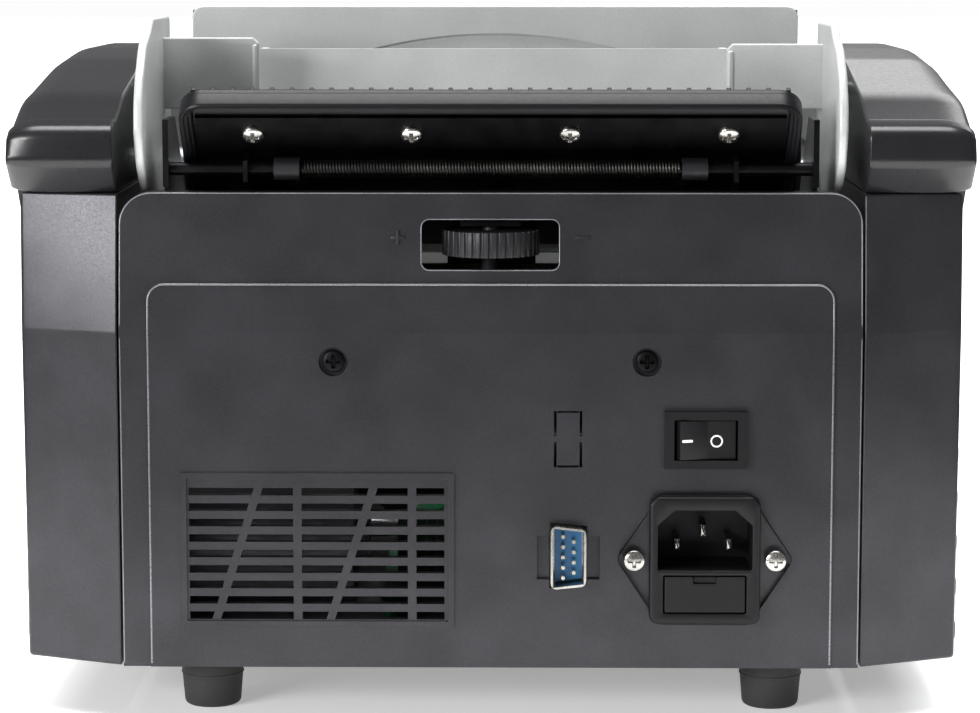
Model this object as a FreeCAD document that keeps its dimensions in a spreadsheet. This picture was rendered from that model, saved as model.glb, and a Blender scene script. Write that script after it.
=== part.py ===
"""Banknote counting machine with a rear-loading top hopper.

Frame: X to the operator's right, Y to the rear, Z up, millimetres.
The origin is on the resting surface, below the middle of the machine.
"""
import FreeCAD, Part
import math
import os
import Sketcher

Vector = FreeCAD.Vector

# ---------------------------------------------------------------- driving dimensions
DIMENSIONS = [
    ("body_low", 14.5, "underside of the body above the resting surface"),
    ("rear_y", 119.5, "rear face of the rear cover"),
    ("front_y", -118, "front face of the side covers"),
    ("bend_z", 104.6, "height where the rear face starts to lean"),
    ("lean_y", 114.6, "rear face at its top edge"),
    ("cover_top", 141.5, "top of the rear cover"),
    ("cover_half", 98.3, "half width of the rear cover"),
    ("cover_corner", 8.4, "corner radius of the rear cover"),
    ("wall", 2.5, "wall of the moulded covers"),
    ("field_rise", 0.6, "height of the raised field on the rear cover"),
    ("field_half", 91, "half width of the raised field"),
    ("field_top", 117.6, "top of the raised field"),
    ("side_in", 98.9, "inner edge of the side covers"),
    ("side_out", 125.6, "outer face of the side covers"),
    ("cap_out", 127.2, "outer face of the shoulder caps"),
    ("cap_low", 144.2, "underside of the shoulder caps"),
    ("cap_rear", 122, "rearmost face of the shoulder caps"),
    ("frame_in", 85.3, "inner face of the frame plates"),
    ("sheet_steel", 1.5, "thickness of the frame plates"),
    ("running_gap", 0.05, "radial clearance of a shaft in its hole"),
    ("shaft_radius", 4, "driven shafts"),
    ("roller_y", 46, "feed and transport shafts, from the middle"),
    ("feed_z", 106, "feed shaft height"),
    ("feed_radius", 16, "feed rollers"),
    ("pickup_y", 41.5, "pickup shaft, from the middle"),
    ("pickup_z", 142, "pickup shaft height"),
    ("pickup_radius", 12, "pickup rollers"),
    ("transport_z", 66, "transport shaft height"),
    ("transport_radius", 14, "transport rollers"),
    ("pinch_y", 69, "pinch shaft, from the middle"),
    ("pinch_radius", 8, "pinch rollers"),
    ("retard_y", 74.6, "retard shaft, from the middle"),
    ("retard_radius", 12, "retard rollers"),
    ("stacker_y", 2, "stacker shaft, from the middle"),
    ("stacker_z", 62, "stacker shaft height"),
    ("impeller_radius", 28, "reach of the impeller blades"),
    ("pivot_y", 108, "tray pivot rod, from the middle"),
    ("pivot_z", 147.2, "tray pivot rod height"),
    ("pivot_radius", 1.8, "tray pivot rod"),
    ("rail_y", 38, "guide rail, from the middle"),
    ("rail_z", 166, "guide rail height"),
    ("rail_radius", 2, "guide rail"),
    ("tray_top_y", 118, "top edge of the feed tray, from the middle"),
    ("tray_top_z", 168.9, "top edge of the feed tray"),
    ("tray_half", 81.9, "half width of the feed tray"),
    ("tray_run", 64, "length of the feed tray down its slope"),
    ("fin_x", 91.6, "inner face of a guide's side wall"),
    ("fin_wall", 2.4, "thickness of a guide's side wall"),
    ("wheel_y", 106.4, "thumbwheel axis, from the middle"),
    ("wheel_z", 127.7, "middle of the thumbwheel"),
    ("wheel_radius", 13, "thumbwheel"),
    ("wheel_width", 6.6, "thumbwheel rim"),
    ("stem_radius", 2.5, "thumbwheel stem"),
    ("head_half", 98.2, "half width of the control head"),
    ("pod_half", 89.5, "half width of the raised pod on the control head"),
    ("pod_low", 176, "height where the pod rises from the control head"),
    ("head_top", 188.6, "top of the control head"),
    ("head_rear", 12, "rear face of the control head"),
    ("foot_x", 76.4, "feet, from the middle"),
    ("foot_y", 100, "feet, from the middle"),
    ("foot_radius", 8.6, "feet at the top"),
    ("foot_toe", 7.6, "feet at the floor"),
    ("inlet_x", -57, "middle of the mains inlet"),
    ("inlet_z", 44.3, "height of the mains inlet"),
    ("switch_x", -57.1, "middle of the power switch"),
    ("switch_z", 76.4, "height of the power switch"),
    ("serial_x", -20.8, "middle of the serial connector"),
    ("serial_z", 45.1, "height of the serial connector"),
]

doc = FreeCAD.newDocument("NoteCounter")
sheet = doc.addObject("Spreadsheet::Sheet", "Sizes")


class Size:
    """A length that knows its number and the sheet formula that gives it."""

    def __init__(self, value, text):
        self.value = value
        self.text = text

    def __add__(self, other):
        other = as_size(other)
        return Size(self.value + other.value, f"({self.text} + {other.text})")

    def __radd__(self, other):
        return as_size(other) + self

    def __sub__(self, other):
        other = as_size(other)
        return Size(self.value - other.value, f"({self.text} - {other.text})")

    def __rsub__(self, other):
        return as_size(other) - self

    def __mul__(self, other):
        other = as_size(other)
        return Size(self.value * other.value, f"({self.text} * {other.text})")

    def __rmul__(self, other):
        return as_size(other) * self

    def __truediv__(self, other):
        other = as_size(other)
        return Size(self.value / other.value, f"({self.text} / {other.text})")

    def __neg__(self):
        return Size(-self.value, f"(0 - {self.text})")


def as_size(thing):
    """A plain number becomes a Size, and a Size stays one."""
    if isinstance(thing, Size):
        return thing
    return Size(float(thing), f"({float(thing):.6f})")


class Dimensions:
    """The driving dimensions as attributes."""


s = Dimensions()
for row, (alias, number, meaning) in enumerate(DIMENSIONS, start=1):
    sheet.set(f"A{row}", meaning)
    sheet.set(f"B{row}", str(number))
    sheet.setAlias(f"B{row}", alias)
    setattr(s, alias, Size(float(number), f"Sizes.{alias}"))
doc.recompute()

parts = []


def bind(thing, path, size):
    """Tie one property to the sheet."""
    thing.setExpression(path, as_size(size).text)


def keep(thing, label):
    """Name a finished sub-part after its node."""
    thing.Label = label
    parts.append(thing)
    return thing


# ---------------------------------------------------------------- primitives
def block(name, x, y, z):
    """Box between three pairs of planes."""
    box = doc.addObject("Part::Box", name)
    for side, pair, path in (("Length", x, "x"), ("Width", y, "y"), ("Height", z, "z")):
        low, high = as_size(pair[0]), as_size(pair[1])
        bind(box, side, high - low)
        bind(box, f"Placement.Base.{path}", low)
    return box


TURNS = {
    "x": FreeCAD.Rotation(Vector(0, 1, 0), 90),
    "y": FreeCAD.Rotation(Vector(1, 0, 0), -90),
    "z": FreeCAD.Rotation(),
}


def place(thing, axis, across, low):
    """Stand a turned primitive on its axis, which starts at low."""
    thing.Placement = FreeCAD.Placement(Vector(), TURNS[axis])
    names = [letter for letter in "xyz" if letter != axis]
    bind(thing, f"Placement.Base.{axis}", low)
    for letter, size in zip(names, across):
        bind(thing, f"Placement.Base.{letter}", size)


def bar(name, axis, across, span, radius):
    """Cylinder along an axis. across gives the other two coordinates."""
    cylinder = doc.addObject("Part::Cylinder", name)
    bind(cylinder, "Radius", radius)
    bind(cylinder, "Height", as_size(span[1]) - as_size(span[0]))
    place(cylinder, axis, across, span[0])
    return cylinder


def cone(name, axis, across, span, first_radius, last_radius):
    """Truncated cone along an axis."""
    shape = doc.addObject("Part::Cone", name)
    bind(shape, "Radius1", first_radius)
    bind(shape, "Radius2", last_radius)
    bind(shape, "Height", as_size(span[1]) - as_size(span[0]))
    place(shape, axis, across, span[0])
    return shape


def fuse(name, shapes):
    joined = doc.addObject("Part::MultiFuse", name)
    joined.Shapes = shapes
    joined.Refine = True
    return joined


def cut(name, base, tools):
    """Take one tool or several away from a base."""
    result = doc.addObject("Part::Cut", name)
    result.Base = base
    result.Tool = tools[0] if len(tools) == 1 else fuse(name + "_tools", tools)
    return result


def group(name, shapes):
    """Separate solids that share one node."""
    compound = doc.addObject("Part::Compound", name)
    compound.Links = shapes
    return compound


def tube(name, axis, across, span, radius, bore):
    outer = bar(name + "_outer", axis, across, span, radius)
    inner = bar(name + "_bore", axis, across, span, bore)
    return cut(name, outer, [inner])


# ---------------------------------------------------------------- sketched bodies
def origin_plane(body, role):
    return [feature for feature in body.Origin.OriginFeatures if feature.Role == role][0]


def new_sketch(body, name, plane, offset=0):
    sketch = body.newObject("Sketcher::SketchObject", name)
    sketch.AttachmentSupport = [(origin_plane(body, plane), "")]
    sketch.MapMode = "FlatFace"
    bind(sketch, "AttachmentOffset.Base.z", offset)
    return sketch


def draw_outline(sketch, points):
    """Closed outline of straight lines. Both coordinates of each corner are tied to the sheet."""
    first = sketch.GeometryCount
    count = len(points)
    corners = [Vector(as_size(u).value, as_size(v).value, 0) for u, v in points]
    lines = [Part.LineSegment(corners[k], corners[(k + 1) % count]) for k in range(count)]
    sketch.addGeometry(lines, False)
    for k in range(count):
        after = first + (k + 1) % count
        sketch.addConstraint(Sketcher.Constraint("Coincident", first + k, 2, after, 1))
    for k, pair in enumerate(points):
        for kind, size in zip(("DistanceX", "DistanceY"), pair):
            size = as_size(size)
            rule = Sketcher.Constraint(kind, -1, 1, first + k, 1, size.value)
            bind(sketch, f"Constraints[{sketch.addConstraint(rule)}]", size)


def draw_rectangle(sketch, u, v):
    draw_outline(sketch, [(u[0], v[0]), (u[1], v[0]), (u[1], v[1]), (u[0], v[1])])


def draw_circle(sketch, centre, radius):
    u, v, radius = as_size(centre[0]), as_size(centre[1]), as_size(radius)
    circle = Part.Circle(Vector(u.value, v.value, 0), Vector(0, 0, 1), radius.value)
    index = sketch.addGeometry(circle, False)
    for kind, size in (("DistanceX", u), ("DistanceY", v)):
        rule = Sketcher.Constraint(kind, -1, 1, index, 3, size.value)
        bind(sketch, f"Constraints[{sketch.addConstraint(rule)}]", size)
    rule = Sketcher.Constraint("Radius", index, radius.value)
    bind(sketch, f"Constraints[{sketch.addConstraint(rule)}]", radius)


def draw_corner(sketch, edge, top, radius, sign):
    """What a rounded top corner leaves outside its arc. sign is 1 on the right and -1 on the left."""
    centre = (edge - radius * sign, top - radius)
    beyond = (edge + 1 * sign, top + 1)
    corners = [(centre[0], top), (centre[0], beyond[1]), beyond, (beyond[0], centre[1]), (edge, centre[1])]
    spots = [Vector(u.value, v.value, 0) for u, v in corners]
    lines = [Part.LineSegment(spots[k], spots[k + 1]) for k in range(4)]
    middle = Vector(centre[0].value, centre[1].value, 0)
    circle = Part.Circle(middle, Vector(0, 0, 1), radius.value)
    span = (0, math.pi / 2) if sign > 0 else (math.pi / 2, math.pi)
    arc = Part.ArcOfCircle(circle, *span)
    sketch.addGeometry(lines + [arc], False)
    arc_top, arc_side = (2, 1) if sign > 0 else (1, 2)
    for first, first_end, second, second_end in ((0, 2, 1, 1), (1, 2, 2, 1), (2, 2, 3, 1),
                                                 (0, 1, 4, arc_top), (3, 2, 4, arc_side)):
        sketch.addConstraint(Sketcher.Constraint("Coincident", first, first_end, second, second_end))
    sketch.addConstraint(Sketcher.Constraint("Vertical", 0))
    sketch.addConstraint(Sketcher.Constraint("Horizontal", 3))
    for index, end, pair in ((1, 1, corners[1]), (2, 1, corners[2]), (3, 1, corners[3]), (4, 3, centre)):
        for kind, size in zip(("DistanceX", "DistanceY"), pair):
            rule = Sketcher.Constraint(kind, -1, 1, index, end, size.value)
            bind(sketch, f"Constraints[{sketch.addConstraint(rule)}]", size)
    rule = Sketcher.Constraint("Radius", 4, radius.value)
    bind(sketch, f"Constraints[{sketch.addConstraint(rule)}]", radius)


def feature(body, kind, name, sketch, length, backwards=False):
    """Pad or pocket of one sketch."""
    step = body.newObject(f"PartDesign::{kind}", name)
    step.Profile = sketch
    bind(step, "Length", length)
    step.Reversed = backwards
    body.Tip = step
    return step


def pad_outline(body, name, plane, points, span, kind="Pad"):
    """Pad or pocket an outline between two distances along the plane's normal."""
    low, high = as_size(span[0]), as_size(span[1])
    sketch = new_sketch(body, name + "_sketch", plane, low)
    draw_outline(sketch, points)
    return feature(body, kind, name, sketch, high - low, backwards=(kind == "Pocket"))


def new_body(name):
    return doc.addObject("PartDesign::Body", name)


def round_edges(body, name, radius, wanted, kind="Fillet"):
    """Fillet or chamfer the edges of the tip for which wanted(edge) is true."""
    doc.recompute()
    tip = body.Tip
    names = [f"Edge{k}" for k, edge in enumerate(tip.Shape.Edges, start=1) if wanted(edge)]
    if not names:
        raise RuntimeError(f"{body.Label}: no edge for {name}")
    step = body.newObject(f"PartDesign::{kind}", name)
    step.Base = (tip, names)
    bind(step, "Radius" if kind == "Fillet" else "Size", radius)
    body.Tip = step
    doc.recompute()
    if "Invalid" in step.State:
        raise RuntimeError(f"{body.Label}: {name} failed")
    return step


def runs_along(edge, axis):
    """True for a straight edge along one axis."""
    if edge.Curve.TypeId != "Part::GeomLine":
        return False
    direction = edge.Curve.Direction
    return abs(getattr(direction, axis)) > 0.999


def near(value, target, slack=0.05):
    return abs(value - target) < slack


def sides(number):
    """Both signs of one distance, left first."""
    return (("left", -number), ("right", number))


# ---------------------------------------------------------------- chassis and feet
def make_base_plate():
    body = new_body("base_plate")
    span = (s.body_low + 0.3, s.body_low + 1.8)
    half = s.frame_in + s.sheet_steel + 8.7
    pad_outline(body, "base_sheet", "XY_Plane",
                [(-half, s.front_y + 8), (half, s.front_y + 8),
                 (half, s.rear_y - 4), (-half, s.rear_y - 4)], span)
    sketch = new_sketch(body, "foot_holes", "XY_Plane", span[0])
    for x in (-s.foot_x, s.foot_x):
        for y in (-s.foot_y, s.foot_y):
            draw_circle(sketch, (x, y), 1.6)
    feature(body, "Pocket", "foot_hole_cut", sketch, 1.5, backwards=True)
    return keep(body, "base_plate")


def make_feet():
    feet, screws = [], []
    for end, y in sides(s.foot_y):
        for side, x in sides(s.foot_x):
            tag = f"{side}_{end}"
            solid = cone(f"foot_cone_{tag}", "z", (x, y), (0, s.body_low + 0.3), s.foot_toe, s.foot_radius)
            well = bar(f"foot_well_{tag}", "z", (x, y), (0, s.body_low - 4.5), 3.4)
            hole = bar(f"foot_hole_{tag}", "z", (x, y), (0, s.body_low + 0.3), 1.6)
            feet.append(cut(f"foot_{tag}", solid, [well, hole]))
            head = bar(f"foot_head_{tag}", "z", (x, y), (s.body_low - 6.5, s.body_low - 4.5), 3)
            shank = bar(f"foot_shank_{tag}", "z", (x, y), (s.body_low - 4.5, s.body_low + 3.8), 1.55)
            screws.append(fuse(f"foot_screw_{tag}", [head, shank]))
    keep(group("feet", feet), "feet")
    keep(group("foot_screws", screws), "foot_screws")


def frame_outline():
    """Side view of a frame plate: low at the front, with an ear up to the tray pivot."""
    low = s.body_low + 1.8
    ear_y = s.lean_y - 6.6
    return [(s.front_y + 16, low), (s.rear_y - 6, low), (s.rear_y - 6, 104), (ear_y, 138),
            (ear_y, 142.6), (112.6, 142.6), (112.6, 160.5), (96, 160.5), (84, 150), (60, 128), (57, 154), (46, 154), (46, 172),
            (30, 172), (30, 154), (24, 154), (16, 106), (-100, 106)]


MOTOR = (92, 44)
MOTOR_SHAFT = 3
MOTOR_PULLEY = 7


def make_frame_plates():
    """Two steel plates that carry every shaft."""
    turn = s.shaft_radius + s.running_gap
    holes = [(s.roller_y, s.feed_z, turn), (s.pickup_y, s.pickup_z, turn),
             (s.roller_y, s.transport_z, turn), (s.stacker_y, s.stacker_z, turn),
             (s.pinch_y, s.transport_z, turn), (s.pivot_y, s.pivot_z, s.pivot_radius),
             (s.rail_y, s.rail_z, s.rail_radius), (*MOTOR, MOTOR_SHAFT + s.running_gap)]
    for side, inner in sides(s.frame_in):
        body = new_body(f"frame_plate_{side}")
        low = inner if side == "right" else inner - s.sheet_steel
        pad_outline(body, f"plate_{side}", "YZ_Plane", frame_outline(), (low, low + s.sheet_steel))
        sketch = new_sketch(body, f"shaft_holes_{side}", "YZ_Plane", low)
        for y, z, radius in holes:
            draw_circle(sketch, (y, z), radius)
        feature(body, "Pocket", f"shaft_hole_cut_{side}", sketch, s.sheet_steel, backwards=True)
        keep(body, f"frame_plate_{side}")


def make_tie_rods():
    """Rods between the frame plates, and the longer rail that the note guides slide on."""
    spots = [(-96, 24), (98, 92), (20, 34), (27, 120)]
    rods = [bar(f"tie_rod_{k}", "x", spot, (-s.frame_in, s.frame_in), 3)
            for k, spot in enumerate(spots)]
    reach = s.side_in - 0.5
    rods.append(bar("guide_rail", "x", (s.rail_y, s.rail_z), (-reach, reach), s.rail_radius))
    keep(group("tie_rods", rods), "tie_rods")


# ---------------------------------------------------------------- covers
def rear_line(offset):
    """Rear face of the rear cover, moved outwards by offset: bottom, bend and top corner."""
    return [(s.rear_y + offset, s.body_low), (s.rear_y + offset, s.bend_z),
            (s.lean_y + offset, s.cover_top)]


def make_rear_cover():
    body = new_body("cover_body")
    outer, inner = rear_line(0), rear_line(-s.wall)
    front = s.lean_y - 6
    pad_outline(body, "cover_block", "YZ_Plane", outer + [(front, s.cover_top), (front, s.body_low)],
                (-s.cover_half, s.cover_half))
    ceiling = s.cover_top - s.wall
    pad_outline(body, "cover_hollow", "YZ_Plane",
                [inner[0], inner[1], (s.lean_y - s.wall, ceiling), (front - 1, ceiling),
                 (front - 1, s.body_low - 1), (s.rear_y - s.wall, s.body_low - 1)],
                (-(s.cover_half - s.wall), s.cover_half - s.wall), "Pocket")
    field = rear_line(s.field_rise)
    lean = (s.field_top - s.bend_z) / (s.cover_top - s.bend_z) * (s.rear_y - s.lean_y)
    edge_y = s.rear_y - lean
    pad_outline(body, "raised_field", "YZ_Plane",
                [(s.rear_y - 1, s.body_low), field[0], field[1],
                 (edge_y + s.field_rise, s.field_top), (edge_y - 1, s.field_top),
                 (s.rear_y - 1, s.bend_z)], (-s.field_half, s.field_half))
    field_top, field_half = s.field_top.value, s.field_half.value
    round_edges(body, "field_corners", 2.8,
                lambda edge: runs_along(edge, "y") and near(abs(edge.CenterOfMass.x), field_half)
                and near(edge.CenterOfMass.z, field_top) and edge.CenterOfMass.y > 110, "Chamfer")
    make_rear_openings(body)
    for side, sign in sides(1):
        sketch = new_sketch(body, f"corner_sketch_{side}", "XZ_Plane", -(s.rear_y + 2))
        draw_corner(sketch, s.cover_half * sign, s.cover_top, s.cover_corner, sign)
        feature(body, "Pocket", f"corner_{side}", sketch, 20, backwards=True)
    keep(body, "rear_cover")


def make_rear_openings(body):
    """Everything that is cut through the rear cover, sketched on the XZ plane."""
    depth = 20
    start = -(s.rear_y + 2)

    def punch(name, draw, length=depth):
        sketch = new_sketch(body, name + "_sketch", "XZ_Plane", start)
        draw(sketch)
        return feature(body, "Pocket", name, sketch, length, backwards=True)

    punch("wheel_window", lambda sk: draw_rectangle(sk, (-18.2, 18.2), (s.wheel_z - 6.6, s.wheel_z + 6.6)))
    round_edges(body, "window_corners", 2,
                lambda edge: abs(edge.CenterOfMass.x) > 18 and abs(edge.CenterOfMass.x) < 18.4
                and edge.BoundBox.ZLength < 0.5 and near(abs(edge.CenterOfMass.z - 127.7), 6.6, 0.4))

    def screw_wells(sketch):
        for x in (-41.5, 41.5):
            draw_circle(sketch, (x, 97), 3.9)
    punch("screw_wells", screw_wells, 2 + s.field_rise + 0.8)

    def screw_holes(sketch):
        for x in (-41.5, 41.5):
            draw_circle(sketch, (x, 97), 1.6)
    punch("screw_holes", screw_holes)

    def vent_slots(sketch):
        for row in range(9):
            low = 27.6 + 4.19 * row
            draw_rectangle(sketch, (12.2, 80.2), (low, low + 2.05))
    punch("vent_slots", vent_slots)
    punch("knock_out_slits", lambda sk: [
        draw_rectangle(sk, (x, x + 0.7), span) for x in (-24.4, -17.6)
        for span in ((68.8, 75.6), (77.2, 84))])
    punch("knock_out_ends", lambda sk: [
        draw_rectangle(sk, (-23.5, -17.8), (z, z + 0.6)) for z in (68.8, 83.4)])
    punch("serial_slot", lambda sk: draw_rectangle(sk, (s.serial_x - 8.3, s.serial_x + 8.3), (38.6, 50.4)), 3)
    punch("serial_hole", lambda sk: draw_outline(sk, serial_outline(0.3)))
    punch("switch_hole", lambda sk: draw_rectangle(sk, (s.switch_x - 9.7, s.switch_x + 9.7),
                                                   (s.switch_z - 6.5, s.switch_z + 6.5)))
    punch("inlet_hole", lambda sk: draw_rectangle(sk, (s.inlet_x - 14, s.inlet_x + 14),
                                                  (s.inlet_z - 16.2, s.inlet_z + 16.2)))

    def inlet_screw_holes(sketch):
        for x in (-18.75, 18.75):
            draw_circle(sketch, (s.inlet_x + x, s.inlet_z), 1.4)
    punch("inlet_screw_holes", inlet_screw_holes)
    bar_span = (-(s.rear_y + s.field_rise), -(s.rear_y - s.wall))
    for k, (foot_x, head_x) in enumerate(((51.3, 51.3), (20.8, 20.8), (73.3, 61.4), (42.8, 30.8))):
        pad_outline(body, f"vent_bar_{k}", "XZ_Plane",
                    [(foot_x - 1.15, 27), (foot_x + 1.15, 27), (head_x + 1.15, 64), (head_x - 1.15, 64)],
                    bar_span)
    rim = (-(s.rear_y + s.field_rise + 0.7), -(s.rear_y + s.field_rise - 0.2))
    for name, x, z in (("low", (9.6, 82.2), (25.8, 27.2)), ("high", (9.6, 82.2), (65.6, 67.2)),
                       ("left", (9.6, 11.2), (25.8, 67.2)), ("right", (80.8, 82.2), (25.8, 67.2))):
        pad_outline(body, f"vent_rim_{name}", "XZ_Plane",
                    [(x[0], z[0]), (x[1], z[0]), (x[1], z[1]), (x[0], z[1])], rim)


def serial_outline(grow):
    """Outline of the serial connector on end, larger by grow on every side."""
    x, z = s.serial_x, s.serial_z
    tall, short, wide = 8.6 + grow, 7.6 + grow, 4.7 + grow
    return [(x + wide, z - tall), (x + wide, z + tall), (x - wide, z + short), (x - wide, z - short)]


def side_outline(inset):
    """Side view of a side cover, its walls moved inwards by inset."""
    return [(s.front_y + 8 + inset, s.body_low + inset), (s.rear_y - inset, s.body_low + inset),
            (s.rear_y - inset, s.bend_z), (s.lean_y - inset, s.cap_low - 0.3 - inset),
            (-46.5 + inset, s.cap_low - 0.3 - inset), (-109 + inset, 103 + inset * 0.4),
            (s.front_y + inset, 90)]


def make_side_covers():
    """Hollow side shells, open towards the middle, with horizontal grip ribs outside."""
    for side, sign in sides(1):
        body = new_body(f"side_cover_{side}")
        span = sorted((s.side_in * sign, s.side_out * sign), key=lambda size: size.value)
        hollow = sorted((s.side_in * sign, (s.side_out - s.wall) * sign), key=lambda size: size.value)
        pad_outline(body, f"side_block_{side}", "YZ_Plane", side_outline(0), span)
        out = s.side_out.value
        round_edges(body, f"side_rounding_{side}", 2.5,
                    lambda edge: near(abs(edge.CenterOfMass.x), out) and edge.BoundBox.XLength < 0.01
                    and edge.CenterOfMass.z < 140)
        pad_outline(body, f"side_hollow_{side}", "YZ_Plane", side_outline(s.wall), hollow, "Pocket")
        cheek = sorted(((s.frame_in + s.sheet_steel + 0.3) * sign, (s.side_in + s.wall) * sign),
                       key=lambda size: size.value)
        pad_outline(body, f"bay_cheek_{side}", "YZ_Plane",
                    [(-106, s.body_low + 2.2), (-103.5, s.body_low + 2.2), (-103.5, 103), (-106, 103)], cheek)
        rib = sorted(((s.side_out - 0.6) * sign, (s.side_out + 1.3) * sign), key=lambda size: size.value)
        for k in range(7):
            low = 90.3 - 12.15 * k
            top = low + 6.4
            pad_outline(body, f"grip_rib_{side}_{k}", "YZ_Plane",
                        [(-70, low), (s.rear_y - 5, low), (s.rear_y - 5, top), (-70, top)], rib)
        rib_out = out + 1.3
        round_edges(body, f"rib_rounding_{side}", 0.9,
                    lambda edge: near(abs(edge.CenterOfMass.x), rib_out) and edge.BoundBox.XLength < 0.01)
        keep(body, f"side_cover_{side}")


def make_shoulder_caps():
    """Rounded caps on the side covers, high at the hopper and falling to the rear and the front."""
    profile = [(s.lean_y + 1.4, s.cap_low), (s.cap_rear, s.cap_low + 7), (s.cap_rear, 157.5),
               (s.cap_rear - 3.5, 160.5), (95, 166.2), (48, 174.2), (21, 176.6), (-34, 176.6),
               (-62, 168), (-124.1, 116), (-124.1, 106), (-117, 101.5), (-47, s.cap_low)]
    for side, sign in sides(1):
        body = new_body(f"shoulder_cap_{side}")
        span = sorted((s.side_in * sign, s.cap_out * sign), key=lambda size: size.value)
        pad_outline(body, f"cap_block_{side}", "YZ_Plane", profile, span)
        out = s.cap_out.value
        round_edges(body, f"cap_rounding_{side}", 6,
                    lambda edge: near(abs(edge.CenterOfMass.x), out) and edge.BoundBox.XLength < 0.01
                    and edge.CenterOfMass.z > 158.5)
        keep(body, f"shoulder_cap_{side}")


# ---------------------------------------------------------------- hopper
def make_hopper_plate():
    """Steep front wall of the hopper, slotted for the pickup rollers."""
    body = new_body("hopper_plate")
    pad_outline(body, "hopper_sheet", "YZ_Plane",
                [(43, 177.1), (45, 177.1), (55, 125.5), (53, 125.5)], (-66.6, 66.6))
    for side, x in sides(as_size(32)):
        pad_outline(body, f"pickup_slot_{side}", "YZ_Plane",
                    [(40, 128.5), (60, 128.5), (60, 155.5), (40, 155.5)], (x - 7, x + 7), "Pocket")
    for side, edge in sides(as_size(66.6)):
        low = edge - 2 if side == "right" else edge
        pad_outline(body, f"hopper_flange_{side}", "YZ_Plane",
                    [(34, 177.1), (45, 177.1), (47.6, 163.7), (36.6, 163.7)], (low, low + 2))
    sketch = new_sketch(body, "rail_hole_sketch", "YZ_Plane", -70)
    draw_circle(sketch, (s.rail_y, s.rail_z), s.rail_radius)
    feature(body, "Pocket", "rail_holes", sketch, 140, backwards=True)
    keep(body, "hopper_plate")


def make_guides():
    """Note guides: a side wall with a bulging rear edge, a panel that faces the notes, and a shoe."""
    for side, sign, drop in (("left", -1, 1.7), ("right", 1, 0)):
        body = new_body(f"note_guide_{side}")
        wall = sorted((s.fin_x * sign, (s.fin_x + s.fin_wall) * sign), key=lambda size: size.value)
        top = 186.5 - drop
        fin = [(50, top), (88, top), (94, top - 3), (104, 180 - drop), (112, 172), (116, 165), (117, 157),
               (113, 148), (104, 141), (94, 137.5), (70, 137.5), (50, 152), (50, 160), (33, 160),
               (33, 172), (50, 172)]
        pad_outline(body, f"guide_wall_{side}", "YZ_Plane", fin, wall)
        face = sorted(((s.fin_x - 26.5) * sign, (s.fin_x + 1) * sign), key=lambda size: size.value)
        panel = [(64, 161), (66.4, 161), (66.4, 180.8 - drop), (64, 180.8 - drop)]
        pad_outline(body, f"guide_panel_{side}", "YZ_Plane", panel, face)
        sketch = new_sketch(body, f"rail_bore_sketch_{side}", "YZ_Plane", wall[0] - 1)
        draw_circle(sketch, (s.rail_y, s.rail_z), s.rail_radius + s.running_gap)
        feature(body, "Pocket", f"rail_bore_{side}", sketch, s.fin_wall + 2, backwards=True)
        keep(body, f"note_guide_{side}")


def make_hopper_front_wall():
    """Tall moulded panel behind the control head, with a shallow finger arch."""
    body = new_body("hopper_front_wall")
    outline = [(-s.head_half, HEAD_FLOOR), (s.head_half, HEAD_FLOOR), (s.head_half, s.pod_low),
               (s.pod_half, s.pod_low), (s.pod_half, s.head_top), (-s.pod_half, s.head_top),
               (-s.pod_half, s.pod_low), (-s.head_half, s.pod_low)]
    pad_outline(body, "front_wall_sheet", "XZ_Plane", outline, (-s.head_rear, -(s.head_rear - s.wall)))
    half, top = s.pod_half.value, s.head_top.value
    round_edges(body, "front_wall_corners", 3.5,
                lambda edge: runs_along(edge, "y") and near(abs(edge.CenterOfMass.x), half)
                and near(edge.CenterOfMass.z, top))
    sketch = new_sketch(body, "arch_sketch", "XZ_Plane", -s.head_rear)
    draw_circle(sketch, (0, 180.3 - 150), 150)
    feature(body, "Pocket", "finger_arch", sketch, 0.8, backwards=True)
    keep(body, "hopper_front_wall")


# The tray and its bracket share one tilted frame: x across, y down the slope, z away from the notes.
TRAY_TURN = FreeCAD.Rotation(Vector(1, 0, 0), -135)


TRAY_SCREWS = (-63, -21, 21, 63)
TRAY_SCREW_DOWN = 14
TRAY_SCREW_SHANK = 1.2


def drill_screw_holes(body, name, span):
    """Four screw holes across the tray, between two depths."""
    sketch = new_sketch(body, name + "_sketch", "XY_Plane", span[0])
    for x in TRAY_SCREWS:
        draw_circle(sketch, (x, TRAY_SCREW_DOWN), TRAY_SCREW_SHANK)
    feature(body, "Pocket", name, sketch, span[1] - span[0], backwards=True)


def tilt(body):
    """Put a body drawn in the tray's frame at the tray's top edge."""
    body.Placement = FreeCAD.Placement(Vector(), TRAY_TURN)
    bind(body, "Placement.Base.y", s.tray_top_y)
    bind(body, "Placement.Base.z", s.tray_top_z)


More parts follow.
